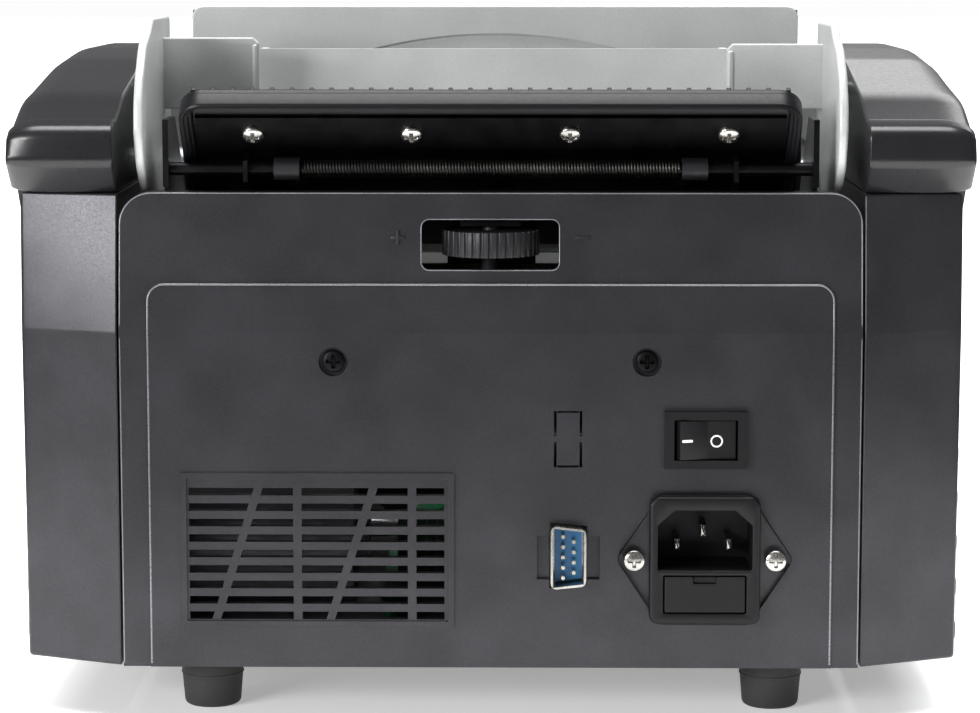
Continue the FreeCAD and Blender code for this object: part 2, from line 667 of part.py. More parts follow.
def make_feed_tray():
    """Ribbed rear wall of the hopper, a shallow pan whose rim faces the rear."""
    body = new_body("feed_tray")
    pad_outline(body, "tray_pan", "XY_Plane",
                [(-s.tray_half, 0), (s.tray_half, 0), (s.tray_half, s.tray_run), (-s.tray_half, s.tray_run)],
                (0, 6))
    half = s.tray_half.value
    round_edges(body, "tray_corners", 6.5,
                lambda edge: runs_along(edge, "z") and near(abs(edge.CenterOfMass.x), half)
                and near(edge.CenterOfMass.y, 0))
    rim = s.tray_half - 2.6
    pad_outline(body, "tray_hollow", "XY_Plane",
                [(-rim, 2.6), (rim, 2.6), (rim, s.tray_run - 2), (-rim, s.tray_run - 2)], (2, 6), "Pocket")
    sketch = new_sketch(body, "tray_foot_sketch", "XY_Plane", 2)
    draw_rectangle(sketch, (-s.tray_half, s.tray_half), (s.tray_run - 18, s.tray_run))
    feature(body, "Pocket", "tray_foot_thinning", sketch, 6, backwards=True)
    drill_screw_holes(body, "tray_screw_holes", (0.6, 2.4))
    for k in range(31):
        x = -78 + 5.2 * k
        pad_outline(body, f"tray_rib_{k}", "XY_Plane",
                    [(x - 0.6, 1), (x + 0.6, 1), (x + 0.6, s.tray_run - 2), (x - 0.6, s.tray_run - 2)],
                    (-0.8, 0.2))
    tilt(body)
    keep(body, "feed_tray")


def make_tray_screws():
    """Pan-head screws through the bracket into the tray's back."""
    screws = []
    for k, x in enumerate(TRAY_SCREWS):
        head = bar(f"tray_screw_head_{k}", "z", (x, TRAY_SCREW_DOWN), (3.2, 4.9), 2.9)
        shank = bar(f"tray_screw_shank_{k}", "z", (x, TRAY_SCREW_DOWN), (0.6, 3.2), TRAY_SCREW_SHANK)
        screws.append(fuse(f"tray_screw_{k}", [head, shank]))
    result = group("tray_screws", screws)
    result.Placement = FreeCAD.Placement(Vector(), TRAY_TURN)
    bind(result, "Placement.Base.y", s.tray_top_y)
    bind(result, "Placement.Base.z", s.tray_top_z)
    keep(result, "tray_screws")


BRACKET_EAR = 65


def make_tray_bracket():
    """Sheet bracket: a web on the tray's back and two ears, from the pivot rod to the retard shaft."""
    web = new_body("bracket_web_body")
    pad_outline(web, "bracket_web", "XY_Plane", [(-78, 8), (78, 8), (78, 24), (-78, 24)], (2, 3.2))
    drill_screw_holes(web, "web_screw_holes", (1.9, 3.3))
    tilt(web)
    shapes = [web]
    for side, x in sides(as_size(BRACKET_EAR)):
        ear = new_body(f"bracket_ear_body_{side}")
        outline = [(105.6, 151.2), (112, 149.5), (112, 144), (101, 139), (85, 106), (80, 99), (70, 99),
                   (68, 106), (76, 120), (90, 137.5)]
        pad_outline(ear, f"bracket_ear_{side}", "YZ_Plane", outline, (x - 0.6, x + 0.6))
        shapes.append(ear)
    bore = bar("bracket_pivot_bore", "x", (s.pivot_y, s.pivot_z), (-80, 80), s.pivot_radius + s.running_gap)
    axle = bar("bracket_axle_bore", "x", (s.retard_y, s.feed_z), (-80, 80), 3)
    tongue = block("bracket_tongue", (-9, 9), (93, 107), (138.6, 139.8))
    stay = block("bracket_stay", (-BRACKET_EAR, BRACKET_EAR), (92, 94.2), (135.6, 139.8))
    keep(cut("tray_bracket", fuse("bracket_solid", shapes + [tongue, stay]), [bore, axle]), "tray_bracket")


def make_pivot():
    span = (-(s.frame_in + s.sheet_steel), s.frame_in + s.sheet_steel)
    keep(bar("pivot_rod", "x", (s.pivot_y, s.pivot_z), span, s.pivot_radius), "pivot_rod")
    centre = (s.pivot_y, s.pivot_z)
    keep(tube("pivot_spring", "x", centre, (-50.4, 50.4), 2.4, s.pivot_radius), "pivot_spring")
    collars = [tube(f"collar_{side}", "x", centre, (x - 3.4, x + 3.4), 3, s.pivot_radius)
               for side, x in sides(as_size(54.2))]
    keep(group("rod_collars", collars), "rod_collars")


def make_thumbwheel():
    """Knurled wheel moulded on its stem, which turns in the two lugs of a block."""
    low, high = s.wheel_z - s.wheel_width / 2, s.wheel_z + s.wheel_width / 2
    centre = (0, s.wheel_y)
    wheel = new_body("thumbwheel_body")
    sketch = new_sketch(wheel, "wheel_sketch", "XY_Plane", low)
    draw_circle(sketch, (0, s.wheel_y), s.wheel_radius)
    feature(wheel, "Pad", "wheel_disc", sketch, s.wheel_width)
    knurls = []
    for k in range(36):
        turn = math.radians(10 * k)
        spot = (s.wheel_radius * math.sin(turn), s.wheel_y + s.wheel_radius * math.cos(turn))
        knurls.append(bar(f"knurl_{k}", "z", spot, (low, high), 0.55))
    stem = bar("wheel_stem", "z", centre, (s.wheel_z - 13, s.wheel_z + 10.4), s.stem_radius)
    keep(fuse("thumbwheel", [cut("knurled_wheel", wheel, knurls), stem]), "thumbwheel")
    hole = s.stem_radius + s.running_gap
    back = block("block_back", (-12, 12), (88, 90.5), (114, 134.6))
    lugs = [block(f"block_lug_{k}", (-8, 8), (90, s.wheel_y + 5), (z, z + 2.4))
            for k, z in enumerate((115.6, s.wheel_z + s.wheel_width / 2 + 1.2))]
    bridge = block("block_bridge", (-s.frame_in, s.frame_in), (97, 99.5), (114, 121))
    bores = bar("block_bore", "z", centre, (114, 137), hole)
    keep(cut("thumbwheel_block", fuse("block_solid", [back, bridge] + lugs), [bores]), "thumbwheel_block")


# ---------------------------------------------------------------- note drive
def shaft_span(reach):
    return (-(s.frame_in + s.sheet_steel + 2), s.frame_in + s.sheet_steel + reach)


PULLEY_X = 88.6
TRANSPORT_PULLEY = 11
FEED_PULLEY = 11
PICKUP_PULLEY = 8
STACKER_PULLEY = 14


def pulley_shaft(name, centre, reach, radius, width):
    """Steel shaft with the pulley turned on its right end."""
    core = bar(name + "_core", "x", centre, shaft_span(reach), s.shaft_radius)
    disc = bar(name + "_pulley", "x", centre, (PULLEY_X, PULLEY_X + width), radius)
    keep(fuse(name, [core, disc]), name)


def rollers(name, centre, radius, bore, spots, width):
    tubes = [tube(f"{name}_{k}", "x", centre, (x - width / 2, x + width / 2), radius, bore)
             for k, x in enumerate(spots)]
    keep(group(name, tubes), name)


def make_note_drive():
    """Shafts between the frame plates with their rubber rollers."""
    feed, pickup = (s.roller_y, s.feed_z), (s.pickup_y, s.pickup_z)
    transport, pinch = (s.roller_y, s.transport_z), (s.pinch_y, s.transport_z)
    retard = (s.retard_y, s.feed_z)
    pulley_shaft("feed_shaft", feed, 8, FEED_PULLEY, 5)
    pulley_shaft("pickup_shaft", pickup, 8, PICKUP_PULLEY, 5)
    pulley_shaft("transport_shaft", transport, 9.8, TRANSPORT_PULLEY, 8)
    pulley_shaft("stacker_shaft", (s.stacker_y, s.stacker_z), 8, STACKER_PULLEY, 5)
    keep(bar("pinch_shaft", "x", pinch, shaft_span(2), s.shaft_radius), "pinch_shaft")
    rollers("feed_rollers", feed, s.feed_radius, s.shaft_radius, (-32, 32), 12)
    rollers("pickup_rollers", pickup, s.pickup_radius, s.shaft_radius, (-32, 32), 10)
    rollers("transport_rollers", transport, s.transport_radius, s.shaft_radius, (-58, -32, 32, 58), 12)
    rollers("pinch_rollers", pinch, s.pinch_radius, s.shaft_radius, (-58, -32, 32, 58), 10)
    axle = bar("retard_axle", "x", retard, (-BRACKET_EAR - 2, BRACKET_EAR + 2), 3)
    pads = [bar(f"retard_pad_{k}", "x", retard, (x - 5, x + 5), s.retard_radius) for k, x in enumerate((-32, 32))]
    keep(fuse("retard_rollers", [axle] + pads), "retard_rollers")


IMPELLER_SPOTS = (-30, 30)


def make_impellers():
    """Two wheels of eight curved blades that lay the notes down one by one."""
    wheels = []
    for k, x in enumerate(IMPELLER_SPOTS):
        centre = (s.stacker_y, s.stacker_z)
        pieces = [bar(f"impeller_hub_{k}", "x", centre, (x - 4, x + 4), 11)]
        reach = s.impeller_radius.value
        for blade in range(8):
            turn = math.radians(45 * blade)
            sweep = []
            for step in range(5):
                radius = 10 + (reach - 10.2) * step / 4
                angle = turn + 0.16 * step
                sweep.append((radius, angle))
            outer = [(s.stacker_y + r * math.cos(a), s.stacker_z + r * math.sin(a)) for r, a in sweep]
            inner = [(s.stacker_y + r * math.cos(a + 1.6 / r), s.stacker_z + r * math.sin(a + 1.6 / r))
                     for r, a in reversed(sweep)]
            body = new_body(f"impeller_blade_body_{k}_{blade}")
            pad_outline(body, f"impeller_blade_{k}_{blade}", "YZ_Plane", outer + inner, (x - 4, x + 4))
            pieces.append(body)
        hole = bar(f"impeller_bore_{k}", "x", centre, (x - 4, x + 4), s.shaft_radius)
        wheels.append(cut(f"impeller_{k}", fuse(f"impeller_solid_{k}", pieces), [hole]))
    keep(group("impeller_wheels", wheels), "impeller_wheels")


def make_note_path():
    """Curved guide round the transport rollers, the slotted stacker back and the stacker floor."""
    outer = new_body("outer_note_guide")
    centre_y, centre_z = s.roller_y, s.transport_z
    arcs = []
    for radius in (17.4, 18.6):
        arcs.append([(centre_y + radius * math.cos(math.radians(a)),
                      centre_z + radius * math.sin(math.radians(a))) for a in range(0, -91, -15)])
    line = [(s.roller_y + 17.4, 92)] + arcs[0] + [(30, s.transport_z - 17.4), (30, s.transport_z - 18.6)]
    line += arcs[1][::-1] + [(s.roller_y + 18.6, 92)]
    pad_outline(outer, "outer_guide_sheet", "YZ_Plane", line, (-s.frame_in, s.frame_in))
    for k, x in enumerate((-58, -32, 32, 58)):
        pad_outline(outer, f"pinch_window_{k}", "YZ_Plane",
                    [(55, 56), (70, 56), (70, 76), (55, 76)], (x - 6.5, x + 6.5), "Pocket")
    keep(outer, "outer_note_guide")
    back = new_body("stacker_back")
    pad_outline(back, "stacker_back_sheet", "YZ_Plane",
                [(-13, 103), (-11, 103), (-18, 33), (-20, 33)], (-s.frame_in, s.frame_in))
    for k, x in enumerate(IMPELLER_SPOTS):
        pad_outline(back, f"impeller_slot_{k}", "YZ_Plane",
                    [(-30, 38), (0, 38), (0, 88), (-30, 88)], (x - 6, x + 6), "Pocket")
    keep(back, "stacker_back")
    floor = new_body("stacker_floor")
    pad_outline(floor, "stacker_floor_sheet", "YZ_Plane",
                [(-20.5, 33), (-20.5, 31), (-114, 27), (-114, 38), (-111.5, 38), (-111.5, 29.4)],
                (-s.frame_in, s.frame_in))
    keep(floor, "stacker_floor")


# ---------------------------------------------------------------- drive, electronics


def belt(name, first, first_radius, second, second_radius, span, gap=0.4, thick=1.2):
    """Closed loop of flat belt round two pulleys, with its two straight runs."""
    def loop(extra):
        (ay, az), (by, bz) = first, second
        ra, rb = first_radius + extra, second_radius + extra
        reach = math.hypot(by - ay, bz - az)
        heading = math.atan2(bz - az, by - ay)
        spread = math.acos((ra - rb) / reach)

        def at(centre, radius, angle):
            return Vector(0, centre[0] + radius * math.cos(angle), centre[1] + radius * math.sin(angle))
        a1, a2 = at(first, ra, heading + spread), at(first, ra, heading - spread)
        b1, b2 = at(second, rb, heading + spread), at(second, rb, heading - spread)
        edges = [Part.Arc(a1, at(first, ra, heading + math.pi), a2).toShape(),
                 Part.makeLine(a2, b2),
                 Part.Arc(b2, at(second, rb, heading), b1).toShape(),
                 Part.makeLine(b1, a1)]
        return Part.Face(Part.Wire(edges))
    ring = loop(gap + thick).cut(loop(gap))
    shape = ring.extrude(Vector(span[1] - span[0], 0, 0))
    result = doc.addObject("Part::Feature", name)
    result.Shape = shape
    result.Placement = FreeCAD.Placement(Vector(span[0], 0, 0), FreeCAD.Rotation())
    return result


def make_drive():
    """Motor on the right frame plate, with its pulley and belt outside."""
    face = s.frame_in
    motor_body = bar("motor_can", "x", MOTOR, (face - 48, face), 17.5)
    motor_boss = bar("motor_boss", "x", MOTOR, (face - 52, face - 48), 7)
    motor_bore = bar("motor_bore", "x", MOTOR, (face - 30, face), MOTOR_SHAFT + s.running_gap)
    keep(cut("drive_motor", fuse("motor_solid", [motor_body, motor_boss]), [motor_bore]), "drive_motor")
    core = bar("motor_core", "x", MOTOR, (face - 29.5, PULLEY_X + 9), MOTOR_SHAFT)
    disc = bar("motor_pulley", "x", MOTOR, (PULLEY_X, PULLEY_X + 8), MOTOR_PULLEY)
    keep(fuse("motor_shaft", [core, disc]), "motor_shaft")
    transport = (s.roller_y.value, s.transport_z.value)
    keep(belt("drive_belt", transport, TRANSPORT_PULLEY, MOTOR, MOTOR_PULLEY,
              (PULLEY_X + 5.2, PULLEY_X + 7.8)), "drive_belt")


def make_electronics():
    """Main board on its four stand-offs, and the mains transformer."""
    board = block("board_sheet", (-30, 32), (-10, 66), (22, 23.6))
    parts_on_board = [block("board_chip", (-8, 8), (10, 26), (23.4, 26)),
                      block("board_socket", (-26, -14), (-4, 2), (23.4, 33)),
                      bar("board_capacitor", "z", (20, 8), (23.4, 38), 5),
                      block("board_heatsink", (10, 28), (34, 40), (23.4, 40))]
    stands = [bar(f"board_stand_{k}", "z", spot, (s.body_low + 1.8, 22.2), 2.5)
              for k, spot in enumerate(((-27, -7), (29, -7), (-27, 63), (29, 63)))]
    keep(fuse("main_board", [board] + parts_on_board + stands), "main_board")
    core = block("transformer_core", (-80, -38), (56, 80), (s.body_low + 1.8, 47))
    coil = block("transformer_coil", (-73, -45), (50, 86), (s.body_low + 6, 42))
    keep(fuse("transformer", [core, coil]), "transformer")


# ---------------------------------------------------------------- control head
HEAD_LOW = (-112, 120)
HEAD_HIGH = (-6, 187.4)
HEAD_FLOOR = 108
HEAD_SLOPE = math.atan2(HEAD_HIGH[1] - HEAD_LOW[1], HEAD_HIGH[0] - HEAD_LOW[0])
FACE_TURN = FreeCAD.Rotation(Vector(1, 0, 0), math.degrees(HEAD_SLOPE))


def on_face(name, shapes):
    """Shapes drawn in the face's frame, put on the control head: x across, y up the slope, z out."""
    result = group(name, shapes)
    result.Placement = FreeCAD.Placement(Vector(0, HEAD_LOW[0], HEAD_LOW[1]), FACE_TURN)
    return result


DISPLAY = ((-72, -8), (48, 92))
KEYS = (("mode_key", 20, 80), ("batch_key", 46, 80), ("add_key", 20, 60), ("clear_key", 46, 60),
        ("start_key", 70, 70))
KEY_HALF = (8, 4.5)
KEY_GAP = 0.4


def make_control_head():
    """Hollow wedge between the shoulder caps with a narrower pod on top, open at the back."""
    body = new_body("control_head_body")
    rear = s.head_rear - s.wall - 0.3
    front, crest = HEAD_LOW[0], HEAD_HIGH[0]
    slope = math.tan(HEAD_SLOPE)
    shoulder = front + (s.pod_low.value - HEAD_LOW[1]) / slope
    outline = [HEAD_LOW, (shoulder, s.pod_low), (rear, s.pod_low), (rear, HEAD_FLOOR),
               (front + 8, HEAD_FLOOR), (front, HEAD_FLOOR + 4)]
    pad_outline(body, "head_block", "YZ_Plane", outline, (-s.head_half, s.head_half))
    overlap = 2
    pod = [(shoulder - overlap / slope, s.pod_low - overlap), HEAD_HIGH, (rear, HEAD_HIGH[1]),
           (rear, s.pod_low - overlap)]
    pad_outline(body, "pod_block", "YZ_Plane", pod, (-s.pod_half, s.pod_half))
    round_edges(body, "head_rounding", 4,
                lambda edge: runs_along(edge, "x") and (near(edge.CenterOfMass.y, front)
                                                        or near(edge.CenterOfMass.y, crest)))
    inner = [(-108.5, 119), (-23.4, 173.4), (rear, 173.4), (rear, 111), (-104, 111), (-108.5, 113)]
    pad_outline(body, "head_hollow", "YZ_Plane", inner,
                (-(s.head_half - s.wall), s.head_half - s.wall), "Pocket")
    pod_inner = [(-25, 172.4), (-6.5, 184.2), (rear, 184.2), (rear, 172.4)]
    pad_outline(body, "pod_hollow", "YZ_Plane", pod_inner,
                (-(s.pod_half - s.wall), s.pod_half - s.wall), "Pocket")
    (x0, x1), (y0, y1) = DISPLAY
    tools = [block("display_hole", (x0 + 3, x1 - 3), (y0 + 3, y1 - 3), (-12, 4)),
             block("display_recess", (x0 - 0.1, x1 + 0.1), (y0 - 0.1, y1 + 0.1), (-1.6, 4))]
    for name, x, y in KEYS:
        dx, dy = KEY_HALF[0] + KEY_GAP, KEY_HALF[1] + KEY_GAP
        tools.append(block(f"{name}_hole", (x - dx, x + dx), (y - dy, y + dy), (-12, 4)))
    keep(cut("control_head_cut", body, [on_face("face_openings", tools)]), "control_head")
    keep(on_face("window_place", [block("window_sheet", (x0, x1), (y0, y1), (-1.6, -0.1))]), "display_window")
    module = block("display_module", (x0 + 4, x1 - 4), (y0 + 4, y1 - 4), (-8, -3.6))
    board = block("board_panel", (x0, 82), (38, 94), (-9.4, -7.8))
    keep(on_face("head_board_place", [fuse("head_board_solid", [module, board])]), "head_board")
    for name, x, y in KEYS:
        key = new_body(f"{name}_body")
        pad_outline(key, f"{name}_block", "XY_Plane",
                    [(x - KEY_HALF[0], y - KEY_HALF[1]), (x + KEY_HALF[0], y - KEY_HALF[1]),
                     (x + KEY_HALF[0], y + KEY_HALF[1]), (x - KEY_HALF[0], y + KEY_HALF[1])], (-5.4, 1.4))
        round_edges(key, f"{name}_corners", 2, lambda edge: runs_along(edge, "z"))
        round_edges(key, f"{name}_crown", 0.6, lambda edge: near(edge.CenterOfMass.z, 1.4)
                    and edge.BoundBox.ZLength < 0.01)
        keep(on_face(f"{name}_place", [key]), name)


# ---------------------------------------------------------------- rear fittings
def make_mains_inlet():
    """Appliance inlet with a fuse drawer below its opening."""
    body = new_body("inlet_housing")
    face = s.rear_y + s.field_rise
    x, z = s.inlet_x, s.inlet_z
    flange = [(x - 23.2, z), (x - 21.6, z + 4), (x - 12, z + 17.4), (x + 12, z + 17.4), (x + 21.6, z + 4),
              (x + 23.2, z), (x + 21.6, z - 4), (x + 12, z - 17.4), (x - 12, z - 17.4), (x - 21.6, z - 4)]
    pad_outline(body, "inlet_flange", "XZ_Plane", flange, (-(face + 2.4), -face))
    pad_outline(body, "inlet_block", "XZ_Plane",
                [(x - 13.9, z - 16.1), (x + 13.9, z - 16.1), (x + 13.9, z + 16.1), (x - 13.9, z + 16.1)],
                (-(face + 1), -(face - 26)))
    pad_outline(body, "inlet_step", "XZ_Plane",
                [(x - 14.7, z - 17.2), (x + 14.7, z - 17.2), (x + 14.7, z + 17.2), (x - 14.7, z + 17.2)],
                (-(face + 3.4), -(face + 1)))
    mouth = [(x - 12.5, z - 2.6), (x + 12.5, z - 2.6), (x + 12.5, z + 9.5), (x + 8, z + 13.5),
             (x - 8, z + 13.5), (x - 12.5, z + 9.5)]
    pad_outline(body, "inlet_mouth", "XZ_Plane", mouth, (-(face + 4), -(face - 16)), "Pocket")
    pad_outline(body, "drawer_bay", "XZ_Plane",
                [(x - 11, z - 14.2), (x + 11, z - 14.2), (x + 11, z - 4), (x - 11, z - 4)],
                (-(face + 4), -(face - 23)), "Pocket")
    sketch = new_sketch(body, "inlet_screw_sketch", "XZ_Plane", -(face + 4))
    for offset in (-18.75, 18.75):
        draw_circle(sketch, (x + offset, z), 1.6)
    feature(body, "Pocket", "inlet_screw_cut", sketch, 8, backwards=True)
    keep(body, "inlet_housing")
    pins = []
    for name, dx, dz in (("line", -7, 2.6), ("neutral", 7, 2.6), ("earth", 0, 6.4)):
        pins.append(block(f"inlet_pin_{name}", (x + dx - 1, x + dx + 1),
                          (face - 16, face - 4.5), (z + dz - 2, z + dz + 2)))
    keep(group("inlet_pins", pins), "inlet_pins")
    drawer = block("drawer_solid", (x - 10.7, x + 10.7), (face - 20, face + 3.6), (z - 13.9, z - 4.3))
    well = block("drawer_well", (x - 8.6, x + 8.6), (face - 18, face), (z - 12.3, z - 3))
    latch = block("drawer_latch", (x - 3, x + 3), (face + 2.4, face + 3.6), (z - 6.2, z - 4))
    keep(cut("fuse_drawer", drawer, [well, latch]), "fuse_drawer")
    screws = []
    for side, dx in (("left", -18.75), ("right", 18.75)):
        centre = (x + dx, z)
        head = bar(f"inlet_screw_head_{side}", "y", centre, (face + 2.4, face + 4), 2.8)
        shank = bar(f"inlet_screw_shank_{side}", "y", centre, (face - 5, face + 2.4), 1.35)
        screws.append(fuse(f"inlet_screw_{side}", [head, shank]))
    keep(group("inlet_screws", screws), "inlet_screws")


def make_power_switch():
    """Rocker in its bezel. The pressed side is the one at the lower X."""
    face = s.rear_y + s.field_rise
    x, z = s.switch_x, s.switch_z
    plate = block("bezel_plate", (x - 11, x + 11), (face, face + 1.9), (z - 7.6, z + 7.6))
    shell = block("bezel_shell", (x - 9.6, x + 9.6), (face - 14, face + 0.5), (z - 6.4, z + 6.4))
    hollow = block("bezel_hollow", (x - 8.4, x + 8.4), (face - 12, face + 3), (z - 5.4, z + 5.4))
    pivot = face - 1.5
    axle = bar("bezel_axle", "z", (x, pivot), (z - 5.8, z + 5.8), 1)
    keep(fuse("switch_bezel_all", [cut("bezel_frame", fuse("bezel_solid", [plate, shell]), [hollow]), axle]),
         "switch_bezel")
    rocker = new_body("rocker_body")
    ends = [(8.15, angle) for angle in (33, 16, 0, -16, -32)]
    ends += [(8.15, angle) for angle in (212, 196, 180, 165)]
    outline = [(x + r * math.cos(math.radians(a)), pivot + r * math.sin(math.radians(a))) for r, a in ends]
    outline.append((x - 0.41, pivot + 2.57))
    pad_outline(rocker, "rocker_block", "XY_Plane", outline, (z - 5.1, z + 5.1))
    bore = bar("rocker_bore", "z", (x, pivot), (z - 6, z + 6), 1 + s.running_gap)
    keep(cut("switch_rocker", rocker, [bore]), "switch_rocker")


def make_serial_port():
    """Nine-pin connector on end: plated shell, insulator and pins in two rows."""
    face = s.rear_y + s.field_rise
    x, z = s.serial_x, s.serial_z
    shell = new_body("serial_shell")
    pad_outline(shell, "serial_shell_block", "XZ_Plane", serial_outline(0), (-(face + 4), -(face - 8)))
    round_edges(shell, "serial_rounding", 1.6, lambda edge: runs_along(edge, "y"))
    pad_outline(shell, "serial_shell_hollow", "XZ_Plane", serial_outline(-0.6), (-(face + 4), -(face - 7.4)),
                "Pocket")
    keep(shell, "serial_shell")
    insulator = new_body("serial_insulator")
    pad_outline(insulator, "serial_insulator_block", "XZ_Plane", serial_outline(-1.1),
                (-(face - 1.6), -(face - 7.4)))
    keep(insulator, "serial_insulator")
    pins = []
    for k in range(9):
        row, column = (0, k) if k < 5 else (1, k - 5)
        centre = (x + 1.42 - 2.84 * row, z - 5.54 + 2.77 * column + 1.385 * row)
        pins.append(bar(f"serial_pin_{k}", "y", centre, (face - 1.6, face + 3), 0.5))
    keep(group("serial_pins", pins), "serial_pins")


def make_cover_screws():
    face = s.rear_y - 1.4
    screws = []
    for side, x in sides(as_size(41.5)):
        head = bar(f"cover_screw_head_{side}", "y", (x, 97), (face, face + 1.4), 2.9)
        shank = bar(f"cover_screw_shank_{side}", "y", (x, 97), (face - 6, face), 1.55)
        screws.append(fuse(f"cover_screw_{side}", [head, shank]))
    keep(group("cover_screws", screws), "cover_screws")


# ---------------------------------------------------------------- build, test and write
make_base_plate()
make_feet()
make_frame_plates()
make_tie_rods()
make_rear_cover()
make_side_covers()
make_shoulder_caps()
make_hopper_plate()
make_guides()
make_hopper_front_wall()
make_feed_tray()
make_tray_screws()
make_tray_bracket()
make_pivot()
make_thumbwheel()
make_note_drive()
make_impellers()
make_note_path()
make_drive()
make_electronics()
make_control_head()
make_mains_inlet()
make_power_switch()
make_serial_port()
make_cover_screws()
doc.recompute()

for thing in doc.Objects:
    if "Invalid" in thing.State or "Error" in thing.State:
        raise RuntimeError(f"{thing.Name} failed: {thing.State}")
for thing in parts:
    if thing.Shape.isNull() or not thing.Shape.isValid():
        raise RuntimeError(f"{thing.Label} has no valid shape")

os.makedirs("parts", exist_ok=True)
for thing in parts:
    thing.Shape.exportStep(f"parts/{thing.Label}.step")
print(len(parts), "sub-parts")
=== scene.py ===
import math

import bmesh
import bpy
import numpy as np
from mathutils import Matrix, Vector


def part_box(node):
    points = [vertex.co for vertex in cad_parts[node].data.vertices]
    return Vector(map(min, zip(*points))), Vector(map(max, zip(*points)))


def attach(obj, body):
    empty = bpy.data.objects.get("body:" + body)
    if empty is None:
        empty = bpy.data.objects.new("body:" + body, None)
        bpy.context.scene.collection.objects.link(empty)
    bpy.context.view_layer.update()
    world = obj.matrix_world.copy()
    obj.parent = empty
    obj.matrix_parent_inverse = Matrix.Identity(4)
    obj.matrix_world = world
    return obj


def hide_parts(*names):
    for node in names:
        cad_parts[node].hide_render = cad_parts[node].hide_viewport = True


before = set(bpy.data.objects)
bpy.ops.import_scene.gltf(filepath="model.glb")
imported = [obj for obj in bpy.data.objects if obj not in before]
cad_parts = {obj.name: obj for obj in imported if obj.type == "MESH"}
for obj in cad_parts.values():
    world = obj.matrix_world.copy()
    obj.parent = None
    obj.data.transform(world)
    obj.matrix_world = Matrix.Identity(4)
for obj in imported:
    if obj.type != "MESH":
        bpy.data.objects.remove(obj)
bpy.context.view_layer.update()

bl_info = {
    "name": "Banknote counter looks",
    "version": (1, 0, 0),
    "blender": (4, 5, 0),
    "location": "3D View > Sidebar > Counter",
    "description": "Finishes and fine pieces of a banknote counting machine",
    "category": "Object",
}

MM = 0.001
SIDES = (("left", -1), ("right", 1))

# Rear cover: upright below the bend, leaning forward above it. All in millimetres.
REAR_Y = 119.5
BEND_Z = 104.6
LEAN_Y = 114.6
COVER_TOP = 141.5
FIELD_FACE = 120.1
BODY_LOW = 14.5

# Inner and outer faces of the side covers, and the outer face of the shoulder caps.
SIDE_IN = 98.9
SIDE_OUT = 125.6
CAP_OUT = 127.2

# Middle of the mains inlet and how far its flange stands proud.
INLET_X = -57.0
INLET_Z = 44.3
FLANGE_RISE = 2.4

# The tray's back meets its top edge here, and the tray's half width.
TRAY_TOP_Y = 118.0
TRAY_TOP_Z = 168.9
TRAY_HALF = 81.9
HALF_ROOT = math.sqrt(0.5)
TRAY_OUT = (0, HALF_ROOT, -HALF_ROOT)

# Foot of the control face.
HEAD_FOOT_Y = -112.0
HEAD_FOOT_Z = 120.0
HEAD_SLOPE = math.atan2(67.4, 106)


# ---------------------------------------------------------------- colours and nodes
def linear(code, alpha=1.0):
    """An sRGB hex value as linear RGBA."""
    value = np.array([int(code[k:k + 2], 16) for k in (1, 3, 5)]) / 255
    toe = value / 12.92
    curve = ((value + 0.055) / 1.055) ** 2.4
    return (*np.where(value <= 0.04045, toe, curve), alpha)


def add(tree, kind, inputs=None, **settings):
    """Add one shader node with its settings. An input that is a socket is linked."""
    node = tree.nodes.new("ShaderNode" + kind)
    for name, value in settings.items():
        setattr(node, name, value)
    for name, value in (inputs or {}).items():
        socket = node.inputs[name]
        if isinstance(value, bpy.types.NodeSocket):
            tree.links.new(value, socket)
        else:
            socket.default_value = value
    return node


def blank(name):
    """A new material with only its output node, and that node's tree."""
    material = bpy.data.materials.new(name)
    material.use_nodes = True
    material.node_tree.nodes.clear()
    return material, material.node_tree


def close(material, tree, surface):
    """Link the shader to the material's output."""
    add(tree, "OutputMaterial", {"Surface": surface})
    return material


def grains(tree, size_mm, detail=2.0, rough=0.5):
    """Noise whose lumps are about size_mm across, read from Object coordinates."""
    place = add(tree, "TexCoord").outputs["Object"]
    return add(tree, "TexNoise", {"Vector": place, "Scale": 1 / (size_mm * MM), "Detail": detail,
                                  "Roughness": rough}).outputs["Fac"]


def flakes(tree, size_mm):
    """One random value to each cell about size_mm across."""
    place = add(tree, "TexCoord").outputs["Object"]
    cells = add(tree, "TexVoronoi", {"Vector": place, "Scale": 1 / (size_mm * MM)})
    return add(tree, "SeparateColor", {"Color": cells.outputs["Color"]}).outputs["Red"]


def spread(tree, value, low, high, start=0.3, end=0.7):
    """Value carried from start..end to low..high."""
    return add(tree, "MapRange", {"Value": value, "From Min": start, "From Max": end, "To Min": low,
                                  "To Max": high}).outputs["Result"]


def between(tree, value, first, second):
    """Colour that goes from first to second with value."""
    mixed = add(tree, "Mix", {"Factor": value}, data_type="RGBA")
    mixed.inputs[6].default_value = linear(first)
    mixed.inputs[7].default_value = linear(second)
    return mixed.outputs[2]


def relief(tree, value, height_mm):
    """Bump whose full height is height_mm."""
    return add(tree, "Bump", {"Height": value, "Distance": height_mm * MM,
                              "Strength": 1.0}).outputs["Normal"]


